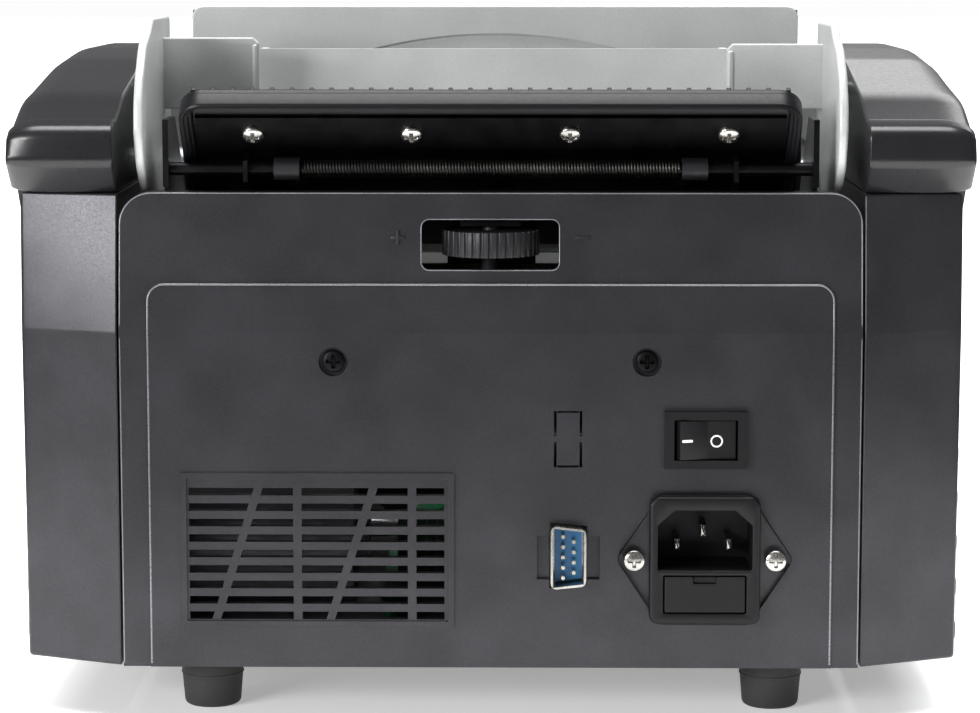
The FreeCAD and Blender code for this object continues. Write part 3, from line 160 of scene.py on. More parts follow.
def moulded(name, dark, light, rough, flake_mm=0.0, texture_mm=0.5, texture_height=0.01, wave_mm=18.0,
            metal=0.0, coat=0.0, coat_rough=0.1, ior=1.5):
    """Injection-moulded plastic or lacquer: slow colour drift, optional metal flake, fine surface texture."""
    material, tree = blank(name)
    tone = spread(tree, grains(tree, wave_mm, 2.0), 0.25, 0.75)
    if flake_mm:
        sparkle = spread(tree, flakes(tree, flake_mm), -0.22, 0.22, 0.0, 1.0)
        tone = add(tree, "Math", {0: tone, 1: sparkle}, operation="ADD").outputs[0]
    fine = grains(tree, texture_mm, 4.0, 0.6)
    shader = add(tree, "BsdfPrincipled", {
        "Base Color": between(tree, tone, dark, light),
        "Roughness": spread(tree, fine, rough - 0.05, rough + 0.05),
        "Metallic": metal, "IOR": ior, "Coat Weight": coat, "Coat Roughness": coat_rough,
        "Normal": relief(tree, fine, texture_height)})
    return close(material, tree, shader.outputs[0])


def metal(name, dark, light, rough, stretch=(1, 1, 1), grain_mm=0.4, height=0.004):
    """Bare or plated metal: fine drawn or plated grain, stretched along the way it was worked."""
    material, tree = blank(name)
    place = add(tree, "TexCoord").outputs["Object"]
    turned = add(tree, "Mapping", {"Vector": place, "Scale": stretch}).outputs[0]
    grain = add(tree, "TexNoise", {"Vector": turned, "Scale": 1 / (grain_mm * MM),
                                   "Detail": 4.0}).outputs["Fac"]
    stain = grains(tree, 9.0, 3.0)
    shader = add(tree, "BsdfPrincipled", {
        "Base Color": between(tree, spread(tree, stain, 0, 1), dark, light),
        "Roughness": spread(tree, grain, rough - 0.06, rough + 0.08), "Metallic": 1.0,
        "Normal": relief(tree, grain, height)})
    return close(material, tree, shader.outputs[0])


def board():
    """Glass-epoxy board under green mask: copper tracks show as a raised lighter maze."""
    material, tree = blank("fr4_green_mask")
    place = add(tree, "TexCoord").outputs["Object"]
    tracks = add(tree, "TexBrick", {"Vector": place, "Scale": 1 / (6 * MM), "Mortar Size": 0.06,
                                    "Color1": linear("#145A32"), "Color2": linear("#10502B"),
                                    "Mortar": linear("#2E8B57")})
    shader = add(tree, "BsdfPrincipled", {"Base Color": tracks.outputs["Color"], "Roughness": 0.3,
                                          "Normal": relief(tree, tracks.outputs["Fac"], 0.04)})
    return close(material, tree, shader.outputs[0])


def tinted_window():
    """Cast acrylic with a smoke tint: nearly black, mirror-smooth, faint scuffs in the gloss."""
    material, tree = blank("acrylic_smoke_tint")
    scuff = grains(tree, 3.0, 5.0)
    shader = add(tree, "BsdfPrincipled", {
        "Base Color": between(tree, scuff, "#0B1014", "#141C22"), "IOR": 1.49,
        "Roughness": spread(tree, scuff, 0.03, 0.12), "Normal": relief(tree, scuff, 0.002)})
    return close(material, tree, shader.outputs[0])


def make_materials():
    """Every finish of the machine, by its common name."""
    return {
        # ABS under silver lacquer: greenish grey, fine flake, satin.
        "silver": moulded("abs_silver_lacquer", "#B0B2B1", "#C4C6C5", 0.4, 0.25, 0.6, 0.003, metal=0.2),
        # ABS under graphite lacquer: dark metallic with visible grain.
        "graphite": moulded("abs_graphite_lacquer", "#2B2A2D", "#3E3D41", 0.33, 0.25, 0.5, 0.004, metal=0.55),
        # Same colour under clear coat: sharp long highlights.
        "gloss": moulded("abs_graphite_clear_coat", "#161618", "#222225", 0.32, 0.3, 1.2, 0.002, metal=0.3,
                         coat=0.25, coat_rough=0.16),
        # Spark-eroded black ABS: even matt grain.
        "black": moulded("abs_black_spark_eroded", "#121214", "#1C1C20", 0.46, 0, 0.45, 0.02),
        # Black ABS off a polished tool: for the hopper tray.
        "tray": moulded("abs_black_polished_tool", "#08080A", "#0E0E12", 0.4, 0, 0.8, 0.003, ior=1.4),
        # Nylon 66: inlet and switch, slight satin.
        "nylon": moulded("nylon_black", "#070709", "#0F0F12", 0.45, 0, 0.5, 0.006, ior=1.36),
        # Moulded rubber: dull with dust in the grain.
        "rubber": moulded("rubber_moulded_black", "#232324", "#303031", 0.72, 0, 0.7, 0.03),
        # Polyurethane tread: amber brown, scuffed.
        "tread": moulded("polyurethane_tread", "#6E3A1C", "#8A4B26", 0.55, 0, 0.5, 0.03),
        # Neoprene drive belt: dull black, dusty grain.
        "belt": moulded("neoprene_belt", "#131313", "#1E1E1E", 0.65, 0, 0.6, 0.02),
        # Silicone keys: soft satin, no gloss.
        "silicone": moulded("silicone_light_grey", "#9A9D9F", "#AEB1B3", 0.5, 0, 0.5, 0.01),
        "silicone_green": moulded("silicone_green", "#2C7D4B", "#37905A", 0.5, 0, 0.5, 0.01),
        # PBT insulator of the connector.
        "blue": moulded("pbt_blue", "#145A8C", "#1E6FA6", 0.4, 0, 0.5, 0.01),
        # Stoved enamel on steel cans: even grey with a slight sheen.
        "motor": moulded("enamel_grey", "#3E3F41", "#4C4D50", 0.4, 0, 0.6, 0.01, metal=0.2),
        # Pad-printed ink: thin, flat, a little rough.
        "ink": moulded("pad_print_white", "#D8D8D6", "#EDEDEB", 0.5, 0, 0.3, 0.006),
        "glyph": moulded("pad_print_dark", "#2B2D30", "#3A3C40", 0.5, 0, 0.3, 0.006),
        # Lit segments of the display: pale green behind the window.
        "segment": moulded("lcd_segment_pale", "#B9E4C4", "#CFF0D6", 0.35, 0, 0.4, 0.004),
        # Zinc plate, spring steel, nickel, gold flash and black oxide: plated or drawn metal, each with its
        # own tint and grain.
        "steel": metal("steel_zinc_plated", "#8B8D8F", "#B9BBBD", 0.34, (0.12, 1, 1)),
        "spring": metal("spring_steel_dark", "#4A4947", "#6E6C68", 0.32, grain_mm=0.3),
        "nickel": metal("nickel_plate", "#A9A7A2", "#D4D2CC", 0.24, grain_mm=0.25, height=0.003),
        "gold": metal("gold_flash_pale", "#B7B09C", "#DAD4C2", 0.25, grain_mm=0.25),
        "oxide": metal("black_oxide_steel", "#1A1A1B", "#2C2C2E", 0.4, grain_mm=0.3),
        # Light graphite lacquer with flake for beads along the rear cover's edges: painted edge highlights
        # for the light caught on its steps and corners.
        "edge": moulded("abs_graphite_painted_edge_highlight", "#77767A", "#8E8D92", 0.3, 0.25, 0.5, 0.004, metal=0.6),
        "board": board(),
        "window": tinted_window(),
    }


NODE_FINISH = {
    "silver": "hopper_plate hopper_front_wall stacker_back stacker_floor",
    "graphite": "rear_cover control_head",
    "black": "thumbwheel rod_collars impeller_wheels outer_note_guide",
    "tray": "feed_tray",
    "nylon": "inlet_housing fuse_drawer switch_bezel switch_rocker",
    "rubber": "transport_rollers pinch_rollers retard_rollers",
    "tread": "feed_rollers pickup_rollers",
    "belt": "drive_belt",
    "silicone": "mode_key batch_key add_key clear_key",
    "silicone_green": "start_key",
    "blue": "serial_insulator",
    "motor": "drive_motor transformer",
    "steel": "foot_screws tie_rods feed_shaft pickup_shaft transport_shaft stacker_shaft pinch_shaft "
             "motor_shaft",
    # base_plate takes black oxide so the inside seen through the vents stays dark: painted shade.
    "oxide": "tray_bracket pivot_rod thumbwheel_block frame_plate_left frame_plate_right base_plate",
    "nickel": "serial_shell",
    "gold": "serial_pins",
    "board": "main_board head_board",
    "window": "display_window",
}


# ---------------------------------------------------------------- surfaces
def quads(rows, columns, wrap_rows=False, wrap_columns=False):
    """Faces that join each grid point to its right and upper neighbours, closing where wrapped."""
    u = np.arange(rows if wrap_rows else rows - 1)
    v = np.arange(columns if wrap_columns else columns - 1)
    a, b = np.meshgrid(u, v, indexing="ij")
    c, d = (a + 1) % rows, (b + 1) % columns
    return np.stack([a * columns + b, c * columns + b, c * columns + d, a * columns + d], -1).reshape(-1, 4)


def sheet(points, wrap_rows=False, wrap_columns=False):
    """Points of a grid and its faces, as one part of a piece."""
    rows, columns = points.shape[:2]
    return points.reshape(-1, 3), quads(rows, columns, wrap_rows, wrap_columns).tolist()


def capped(points):
    """A grid of closed rings, its first and last ring filled."""
    flat, faces = sheet(points, wrap_columns=True)
    count = points.shape[1]
    faces.append(list(range(count))[::-1])
    faces.append(list(range(len(flat) - count, len(flat))))
    return flat, faces


def piece(name, parts, finish, body, sharp=35.0):
    """One object from several parts: doubles merged, normals outward, edges sharp past an angle."""
    points, faces, start = [], [], 0
    for part_points, part_faces in parts:
        points.append(part_points)
        faces += [[start + k for k in face] for face in part_faces]
        start += len(part_points)
    mesh = bpy.data.meshes.new(name)
    mesh.from_pydata((np.concatenate(points) * MM).tolist(), [], faces)
    work = bmesh.new()
    work.from_mesh(mesh)
    bmesh.ops.remove_doubles(work, verts=work.verts, dist=1e-6)
    bmesh.ops.dissolve_degenerate(work, edges=work.edges, dist=1e-6)
    bmesh.ops.recalc_face_normals(work, faces=work.faces)
    work.to_mesh(mesh)
    work.free()
    mesh.shade_smooth()
    mesh.set_sharp_from_angle(angle=math.radians(sharp))
    thing = bpy.data.objects.new(name, mesh)
    bpy.context.scene.collection.objects.link(thing)
    mesh.materials.append(bpy.data.materials[finish])
    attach(thing, body)
    return thing


def rounded(corners, radii, steps=8):
    """Closed outline whose corners are arcs. Each arc touches both sides, its centre lies on the corner's
    bisector at radius over the sine of half the corner's angle, and its points turn evenly about it."""
    p = np.array(corners, float)
    r = np.broadcast_to(np.array(radii, float), len(p))
    a = np.roll(p, 1, 0) - p
    b = np.roll(p, -1, 0) - p
    a /= np.linalg.norm(a, axis=1)[:, None]
    b /= np.linalg.norm(b, axis=1)[:, None]
    half = np.arccos(np.clip((a * b).sum(1), -1, 1)) / 2
    middle = a + b
    middle /= np.linalg.norm(middle, axis=1)[:, None]
    centre = p + middle * (r / np.sin(half))[:, None]
    reach = (r / np.tan(half))[:, None]
    first, last = p + a * reach - centre, p + b * reach - centre
    turn = (math.pi - 2 * half)[:, None]
    t = np.linspace(0, 1, steps)[None]
    whole = np.maximum(np.sin(turn), 1e-9)
    w0, w1 = np.sin((1 - t) * turn) / whole, np.sin(t * turn) / whole
    return (centre[:, None] + w0[..., None] * first[:, None] + w1[..., None] * last[:, None]).reshape(-1, 2)


def inset(outline, amount):
    """The outline moved inwards: each point goes along the mean of its two sides' inward normals."""
    before = outline - np.roll(outline, 1, 0)
    after = np.roll(outline, -1, 0) - outline
    normal = np.zeros_like(outline)
    for side in (before, after):
        length = np.maximum(np.linalg.norm(side, axis=1), 1e-9)[:, None]
        normal += np.stack([-side[:, 1], side[:, 0]], 1) / length
    normal /= np.maximum(np.linalg.norm(normal, axis=1), 1e-9)[:, None]
    x, y = outline.T
    area = np.sum(x * np.roll(y, -1) - np.roll(x, -1) * y)
    return outline + normal * np.sign(area) * np.broadcast_to(amount, len(outline))[:, None]


def slab(outline, low, high, edge_low, edge_high, put, steps=6):
    """A plate between two depths whose rims are quarter rounds: the ring at turn t lies edge * (1 - sin t)
    inside the outline and edge * (1 - cos t) from the face. put carries (a, b, depth) to x, y, z."""
    turn = np.linspace(0, math.pi / 2, steps)
    rings, depths = [], []
    for t in turn:
        rings.append(inset(outline, edge_low * (1 - math.sin(t))))
        depths.append(low + np.max(edge_low) * (1 - math.cos(t)))
    for t in turn[::-1]:
        rings.append(inset(outline, edge_high * (1 - math.sin(t))))
        depths.append(high - np.max(edge_high) * (1 - math.cos(t)))
    return capped(np.stack([put(ring[:, 0], ring[:, 1], np.full(len(ring), depth))
                            for ring, depth in zip(rings, depths)]))


def lathe(profile, centre, axis, steps):
    """A profile of (radius, height) turned about an axis: point = centre + height * axis +
    radius * (cos * across + sin * up)."""
    axis = np.array(axis, float)
    axis /= np.linalg.norm(axis)
    across = np.cross(axis, (0, 0, 1) if abs(axis[2]) < 0.9 else (1, 0, 0))
    across /= np.linalg.norm(across)
    up = np.cross(axis, across)
    profile = np.array(profile, float)
    angle = np.linspace(0, 2 * math.pi, steps, endpoint=False)
    ring = np.cos(angle)[:, None] * across + np.sin(angle)[:, None] * up
    points = (np.array(centre, float) + profile[:, 1, None, None] * axis
              + profile[:, 0, None, None] * ring[None])
    return sheet(points, wrap_columns=True)


def arc_profile(corners, radii, steps=5):
    """An open profile with its inner corners rounded; its two ends stay."""
    corners = np.array(corners, float)
    loop = rounded(corners, [0.001] + list(radii) + [0.001], steps)
    return np.concatenate([corners[:1], loop[steps:-steps], corners[-1:]])


def cross_head(centre, axis, radius, height, slot_width, slot_reach, depth, dome=0.5, rows=30, steps=96):
    """Head of a cross-recessed screw: a dome over a short wall, less a recess of the given depth wherever a
    point lies within half the slot's width of either slot's middle line and inside its reach."""
    axis = np.array(axis, float)
    axis /= np.linalg.norm(axis)
    across = np.cross(axis, (0, 0, 1))
    across /= np.linalg.norm(across)
    up = np.cross(axis, across)
    share = np.concatenate([[0, 0], np.linspace(0, 1, rows)])
    r = radius * (1 - share)
    crown = height * (1 - dome) + height * dome * np.sqrt(np.clip(1 - (r / radius) ** 2, 0, 1))
    crown[0] = 0
    angle = np.linspace(0, 2 * math.pi, steps, endpoint=False)
    u, v = r[:, None] * np.cos(angle + 0.3), r[:, None] * np.sin(angle + 0.3)
    edge = radius * 0.06

    def inside(a, b):
        along = np.clip((slot_reach - np.abs(a)) / edge, 0, 1)
        return along * np.clip((slot_width / 2 - np.abs(b)) / edge + 0.5, 0, 1)
    hollow = np.maximum(inside(u, v), inside(v, u)) * depth
    level = crown[:, None] - hollow
    level[0] = 0
    points = (np.array(centre, float) + u[..., None] * across + v[..., None] * up + level[..., None] * axis)
    return sheet(points, wrap_columns=True)


def coil(centre, reach, radius, wire, turns, per_turn=16, around=5):
    """Wire wound about X: the middle line is (x, radius * cos a, radius * sin a), and a ring of the wire's
    radius stands square to it at every step."""
    count = int(turns * per_turn) + 1
    a = np.linspace(0, 2 * math.pi * turns, count)
    x = np.linspace(-reach, reach, count)
    line = np.stack([x, radius * np.cos(a), radius * np.sin(a)], 1)
    out = np.stack([np.zeros(count), np.cos(a), np.sin(a)], 1)
    ahead = np.gradient(line, axis=0)
    ahead /= np.linalg.norm(ahead, axis=1)[:, None]
    side = np.cross(ahead, out)
    turn = np.linspace(0, 2 * math.pi, around, endpoint=False)
    points = (line[:, None] + wire * (np.cos(turn)[None, :, None] * out[:, None]
                                      + np.sin(turn)[None, :, None] * side[:, None]))
    return capped(points + np.array(centre))


# Carriers from a flat drawing to the machine: each takes (a, b, depth) and gives x, y, z.
def upright(a, b, depth):
    """Drawn in the side view: a is Y, b is Z, depth is X."""
    return np.stack([depth, a, b], -1)


def sided(sign):
    """The upright carrier for one side of the machine."""
    return lambda a, b, depth: upright(a, b, depth * sign)


def rearward(a, b, depth):
    """Drawn in the rear view: a is X, b is Z, depth is Y."""
    return np.stack([a, depth, b], -1)


def leaning(a, b, depth):
    """Drawn on the leaning part of the rear cover: depth is out of its face."""
    slope = (LEAN_Y - REAR_Y) / (COVER_TOP - BEND_Z)
    run = math.hypot(1, slope)
    return np.stack([a, REAR_Y + slope * (b - BEND_Z) + depth / run, b - slope * depth / run], -1)


def on_tray(a, b, depth):
    """Drawn on the tray's back: a is X, b runs down the slope, depth is away from the notes."""
    return np.stack([a, TRAY_TOP_Y + HALF_ROOT * (depth - b), TRAY_TOP_Z - HALF_ROOT * (depth + b)], -1)


def on_head(a, b, depth):
    """Drawn on the control face: a is X, b runs up the slope, depth is out of the face."""
    c, s = math.cos(HEAD_SLOPE), math.sin(HEAD_SLOPE)
    return np.stack([a, HEAD_FOOT_Y + c * b - s * depth, HEAD_FOOT_Z + s * b + c * depth], -1)


def box_outline(a0, a1, b0, b1, radius, steps=8):
    """A rectangle with round corners."""
    return rounded([(a0, b0), (a1, b0), (a1, b1), (a0, b1)], radius, steps)


# ---------------------------------------------------------------- operators
class CounterSizes(bpy.types.PropertyGroup):
    """Sizes a user would change."""
    cap_edge: bpy.props.FloatProperty(name="Cap rounding", description="Rounding of the shoulder caps",
                                      default=0.0095, unit="LENGTH", subtype="DISTANCE")
    bevel: bpy.props.FloatProperty(name="Moulding edge", description="Rounding of moulded edges",
                                   default=0.0004, unit="LENGTH", subtype="DISTANCE")
    spring_turns: bpy.props.IntProperty(name="Spring turns", description="Turns of the pivot spring",
                                        default=120)
    rear_sweep: bpy.props.FloatProperty(name="Rear sweep",
                                        description="How far the side covers sweep forward", default=0.015,
                                        unit="LENGTH", subtype="DISTANCE")


class StageSizes(bpy.types.PropertyGroup):
    """The room around the machine."""
    floor_half: bpy.props.FloatProperty(name="Floor", description="Half width of the floor", default=14.0,
                                        unit="LENGTH", subtype="DISTANCE")
    lens: bpy.props.FloatProperty(name="Lens", description="Focal length in millimetres", default=112.26)


def soften(thing, width):
    """Round a CAD node's edges: weld its loose triangles, merge flat ones, then bevel past an angle."""
    weld = thing.modifiers.new("weld", "WELD")
    weld.merge_threshold = 1e-6
    flat = thing.modifiers.new("flat", "DECIMATE")
    flat.decimate_type = "DISSOLVE"
    flat.angle_limit = math.radians(1.0)
    edge = thing.modifiers.new("edge", "BEVEL")
    edge.width = width
    edge.segments = 2
    edge.limit_method = "ANGLE"
    edge.angle_limit = math.radians(32)
    edge.harden_normals = True
    edge.use_clamp_overlap = True


class COUNTER_OT_finish_nodes(bpy.types.Operator):
    """Give the CAD nodes in the finish table their finishes, and soften the edges of ten of them"""
    bl_idname = "counter.finish_nodes"
    bl_label = "Finish the frame's nodes"

    def execute(self, context):
        finishes = make_materials()
        for key, names in NODE_FINISH.items():
            for name in names.split():
                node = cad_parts[name]
                node.data.materials.clear()
                node.data.materials.append(finishes[key])
        width = context.scene.counter_sizes.bevel
        for name in ("rear_cover", "control_head", "hopper_front_wall", "inlet_housing", "switch_bezel",
                     "switch_rocker", "hopper_plate", "fuse_drawer", "display_window", "thumbwheel"):
            soften(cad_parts[name], width if name != "thumbwheel" else width * 0.4)
        return {"FINISHED"}


class COUNTER_OT_caps(bpy.types.Operator):
    """Shoulder caps with their full rounding"""
    bl_idname = "counter.caps"
    bl_label = "Shoulder caps"

    def execute(self, context):
        edge = context.scene.counter_sizes.cap_edge / MM
        corners = [(112.5, 141.2), (122, 149.4), (122, 158.6), (115.8, 160.9), (113.2, 160.1), (96, 166.4),
                   (50, 174.4), (20, 176.6), (-34, 176.6), (-64, 167.4), (-124.1, 115), (-124.1, 105.5),
                   (-116, 101.5), (-50, 141.2)]
        radii = [1.5, 4.6, 4.3, 1.8, 2.5, 60, 60, 60, 40, 30, 5, 3, 6, 20]
        outline = rounded(corners, radii, 10)
        y, z = outline.T
        top = np.clip((z - 150) / 8, 0, 1)
        crest = np.clip(1 - (y - 40) / 70, 0.45, 1)
        amount = 1.6 + (edge * crest - 1.6) * top
        tuck = rounded([(60, 152), (60, 142), (96, 140), (103, 134), (106.5, 134), (110, 149), (110, 152)],
                       [1, 3, 8, 3, 2, 3, 1], 8)
        for side, sign in SIDES:
            put = sided(sign)
            crown = slab(outline, SIDE_IN, CAP_OUT, 0.8, amount, put, 9)
            skirt = slab(tuck, 124.2, 127.1, 0.1, 0.7,
                         lambda a, b, d: put(a, b, d - np.clip((149 - b) * 0.11, 0, 1.6)), 6)
            cap = piece(f"shoulder_cap_shell_{side}", [crown, skirt], "abs_graphite_clear_coat", "machine")
            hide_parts(f"shoulder_cap_{side}")
        return {"FINISHED"}


class COUNTER_OT_side_covers(bpy.types.Operator):
    """Side covers that sweep forward at the rear, with grip ribs"""
    bl_idname = "counter.side_covers"
    bl_label = "Side covers"

    def execute(self, context):
        sweep = context.scene.counter_sizes.rear_sweep / MM
        corners = [(-110, BODY_LOW), (REAR_Y, BODY_LOW), (REAR_Y, BEND_Z), (114.9, 141), (-50, 141),
                   (-109, 103), (-118, 90)]
        outline = rounded(corners, [3, 1.6, 6, 0.8, 12, 12, 8], 8)
        for side, sign in SIDES:
            put = sided(sign)

            def swept(a, b, depth):
                """Pulled forward by the sweep, which grows with the depth and with the square of the nearness
                to the rear, and is strongest at the foot."""
                share = np.clip((depth - SIDE_IN) / (SIDE_OUT - SIDE_IN), 0, 1)
                pull = np.clip((a - 60) / 54, 0, 1) ** 2
                pull *= np.interp(b, (BODY_LOW, BEND_Z, 141), (0.78, 0.62, 0.45))
                return put(a - sweep * share * pull, b, depth)
            turn = np.linspace(0, math.pi / 2, 5)
            depths = np.concatenate([[SIDE_IN, SIDE_IN + 0.3], np.linspace(101, 123, 9),
                                     SIDE_OUT - 1 + np.sin(turn)])
            insets = np.concatenate([[0.3, 0], np.zeros(9), 1 - np.cos(turn)])
            parts = [capped(np.stack([swept(*inset(outline, amount).T, np.full(len(outline), depth))
                                      for depth, amount in zip(depths, insets)]))]
            for k in range(7):
                low = 90.3 - 12.15 * k
                rib = box_outline(-70, 101, low, low + 6.4, 2.4)
                parts.append(slab(rib, SIDE_OUT - 1, 126.9, 0.0, 1.1, put, 5))
            cheek = box_outline(-106, -103.5, 16.7, 103, 0.6, 4)
            parts.append(slab(cheek, 87.1, SIDE_IN + 0.5, 0.2, 0.2, put, 3))
            cover = piece(f"side_cover_shell_{side}", parts, "abs_graphite_lacquer", "machine")
            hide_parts(f"side_cover_{side}")
        return {"FINISHED"}


class COUNTER_OT_tray(bpy.types.Operator):
    """Feed tray: a shallow pan with a stepped rim and fine ribs on the note side"""
    bl_idname = "counter.tray"
    bl_label = "Feed tray"

    def execute(self, context):
        pan = rounded([(-TRAY_HALF, 0), (TRAY_HALF, 0), (TRAY_HALF, 61.5), (-TRAY_HALF, 61.5)],
                      [6.6, 6.6, 1, 1], 12)
        parts = [slab(pan, 0, 2, 0.5, 0.3, on_tray, 4)]
        rim = rounded([(-TRAY_HALF, 0), (TRAY_HALF, 0), (TRAY_HALF, 42), (-TRAY_HALF, 42)],
                      [6.6, 6.6, 2, 2], 12)
        steps = ((0, 1.8), (0, 5.2), (0.15, 5.7), (0.5, 6), (1.0, 6), (1.3, 5.8), (1.4, 5.0), (2.1, 4.9),
                 (2.3, 4.7), (2.4, 3.8), (3.0, 3.7), (3.2, 3.5), (3.4, 1.9))
        rings = [on_tray(*inset(rim, share).T, np.full(len(rim), depth)) for share, depth in steps]
        parts.append(sheet(np.stack(rings), wrap_rows=True, wrap_columns=True))
        for k in range(31):
            x = -78 + 5.2 * k
            tooth = box_outline(x - 0.6, x + 0.6, 0.3, 58, 0.3, 3)
            parts.append(slab(tooth, -0.8, 0.2, 0.2, 0.0, on_tray, 3))
        for k in (-52, 0, 52):
            parts.append(lathe([(3.4, 0), (3.2, 0.9), (2.2, 1.7), (0.8, 2.1), (0.01, 2.15)],
                               on_tray(np.array([k]), np.array([33.0]), np.array([2.0]))[0],
                               TRAY_OUT, 28))
        tray = piece("feed_tray_shell", parts, "abs_black_polished_tool", "tray")
        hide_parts("feed_tray")
        return {"FINISHED"}


class COUNTER_OT_edges(bpy.types.Operator):
    """Painted edge highlights on the rear cover: light beads along its outer corners, the raised field and
    the thumbwheel window
    """
    bl_idname = "counter.edges"
    bl_label = "Painted edge highlights"

    def execute(self, context):
        def face_y(z, rise):
            lean = (LEAN_Y - REAR_Y) * np.clip((z - BEND_Z) / (COVER_TOP - BEND_Z), 0, 1)
            return REAR_Y + lean + rise

        def bead(line, rise, radius):
            """Half-round bead along an open line of (x, z) on the cover's face: a ring of six points stands
            square to the line at every point."""
            x, z = line.T
            middle = np.stack([x, face_y(z, rise), z], 1)
            ahead = np.gradient(middle, axis=0)
            ahead /= np.linalg.norm(ahead, axis=1)[:, None]
            out = np.array([0, 1.0, 0])
            side = np.cross(ahead, out)
            turn = np.linspace(0, 2 * math.pi, 8, endpoint=False)
            points = (middle[:, None] + radius * (np.cos(turn)[None, :, None] * out
                                                  + np.sin(turn)[None, :, None] * side[:, None]))
            return capped(points)

        def arch(half, low, top, radius, count=14):
            """Up one side, round both top corners and down the other side; the sides have many points so that
            they follow the bend."""
            rise = np.linspace(low, top - radius, 24)
            angle = np.linspace(0, math.pi / 2, count)
            right = np.stack([half - radius * (1 - np.cos(angle)), top - radius * (1 - np.sin(angle))], 1)
            up = np.stack([np.full(24, half), rise], 1)
            line = np.concatenate([up[:-1], right])
            return np.concatenate([line, line[::-1] * (-1, 1)])
        parts = [bead(arch(90.6, 15.5, 117.3, 4.2), 0.52, 0.28),
                 bead(arch(98.05, 15.5, 141.2, 8.2), -0.12, 0.2)]
        window = box_outline(-18.3, 18.3, 121.0, 134.4, 2.1, 6)
        window = np.concatenate([window, window[:1]])
        parts.append(bead(window, -0.05, 0.16))
        # Light beads over the cover's edges: painted edge highlights.
        piece("rear_cover_painted_edge_highlights", parts, "abs_graphite_painted_edge_highlight", "machine", 60)
        return {"FINISHED"}


class COUNTER_OT_guides(bpy.types.Operator):
    """Silver note guides with rolled rear edges and a ribbed panel"""
    bl_idname = "counter.guides"
    bl_label = "Note guides"

    def execute(self, context):
        for side, sign in SIDES:
            drop = 1.7 if side == "left" else 0.0
            corners = [(50, 186.5 - drop), (88, 186.5 - drop), (94, 183.5 - drop), (104, 180 - drop),
                       (112, 172), (116, 165), (117, 157), (113, 148), (104, 141), (94, 137.5), (70, 137.5),
                       (50, 152), (50, 160), (33, 160), (33, 172), (50, 172)]
            radii = [2, 5, 8, 8, 10, 10, 8, 9, 9, 9, 6, 4, 1.5, 1.5, 1.5, 2]
            outline = rounded(corners, radii, 7)

            wall = slab(outline, 91.6, 94, 0.7, 0.9, sided(sign), 5)
            top = 180.8 - drop
            face = rounded([(65.1, 161), (92.4, 161), (92.4, top), (66.7, top), (65.1, top - 1.6)],
                           [0.6, 0.4, 0.4, 0.6, 0.6], 6)

            def put_face(a, b, depth, k=sign):
                return rearward(a * k, b, depth)
            panel = slab(face, 64, 66.4, 0.5, 0.5, put_face, 4)
            rib = box_outline(65.4, 67.0, 161.4, top - 1.9, 0.7, 5)
            ridge = slab(rib, 66.2, 66.9, 0.1, 0.5, put_face, 4)
            guide = piece(f"note_guide_shell_{side}", [wall, panel, ridge], "abs_silver_lacquer",
                          f"guide_{side}")
            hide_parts(f"note_guide_{side}")
        return {"FINISHED"}


class COUNTER_OT_inlet(bpy.types.Operator):
    """Mains inlet: a flange with round tips, and raised frames round the opening and the fuse drawer"""
    bl_idname = "counter.inlet"
    bl_label = "Mains inlet"

    def execute(self, context):
        def placed(rings):
            """Rings of (outline, depth) about the inlet's middle, as a grid."""
            return np.stack([rearward(ring[:, 0] + INLET_X, ring[:, 1] + INLET_Z,
                                      np.full(len(ring), FIELD_FACE + depth)) for ring, depth in rings])

        def frame_part(outer, opening, floor):
            """A well with a flat frame round it: rings run up the well's wall, over its soft lip, across the
            frame, down its outer wall and back along the outside of the well."""
            grown = inset(opening, -1.2)
            rings = [(opening, floor), (opening, 3.1), (inset(opening, -0.1), 3.3),
                     (inset(opening, -0.3), 3.4), (outer(0.9), 3.4), (outer(0.35), 3.25), (outer(0.1), 2.95),
                     (outer(0.0), 2.5), (outer(0.0), 0.2), (grown, 0.2), (grown, floor - 1)]
            return capped(placed(rings))

        def high_frame(e):
            return rounded([(-14.7 + e, -3.3), (14.7 - e, -3.3), (14.7 - e, 15.2), (12.7, 17.2 - e),
                            (-12.7, 17.2 - e), (-14.7 + e, 15.2)], [0.01, 0.01, 1.6, 1.6, 1.6, 1.6])

        def low_frame(e):
            return rounded([(-14.7 + e, -17.2 + e), (14.7 - e, -17.2 + e), (14.7 - e, -3.3),
                            (-14.7 + e, -3.3)], [2.2, 2.2, 0.01, 0.01])
        mouth = rounded([(-12.5, -2.6), (12.5, -2.6), (12.5, 9.5), (8, 13.5), (-8, 13.5), (-12.5, 9.5)], 0.7)
        bay = box_outline(-11, 11, -14.2, -4, 0.3)
        parts = [frame_part(high_frame, mouth, -16), frame_part(low_frame, bay, -22)]
        flange = rounded([(-23.6, 0), (-12, -17.6), (12, -17.6), (23.6, 0), (12, 17.6), (-12, 17.6)],
                         [2.6, 2.2, 2.2, 2.6, 2.2, 2.2])
        seat = rounded([(-13.9, 0), (-13.9, -16.3), (13.9, -16.3), (13.9, 0), (13.9, 16.3), (-13.9, 16.3)],
                       [0.01, 0.5, 0.5, 0.01, 0.5, 0.5])
        rings = [(seat, 0), (seat, FLANGE_RISE), (inset(flange, 0.7), FLANGE_RISE), (inset(flange, 0.2), 2.2),
                 (flange, 1.8), (flange, 0)]
        parts.append(sheet(placed(rings), wrap_rows=True, wrap_columns=True))
        housing = piece("inlet_shell", parts, "nylon_black", "machine", 40)
        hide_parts("inlet_housing")
        return {"FINISHED"}


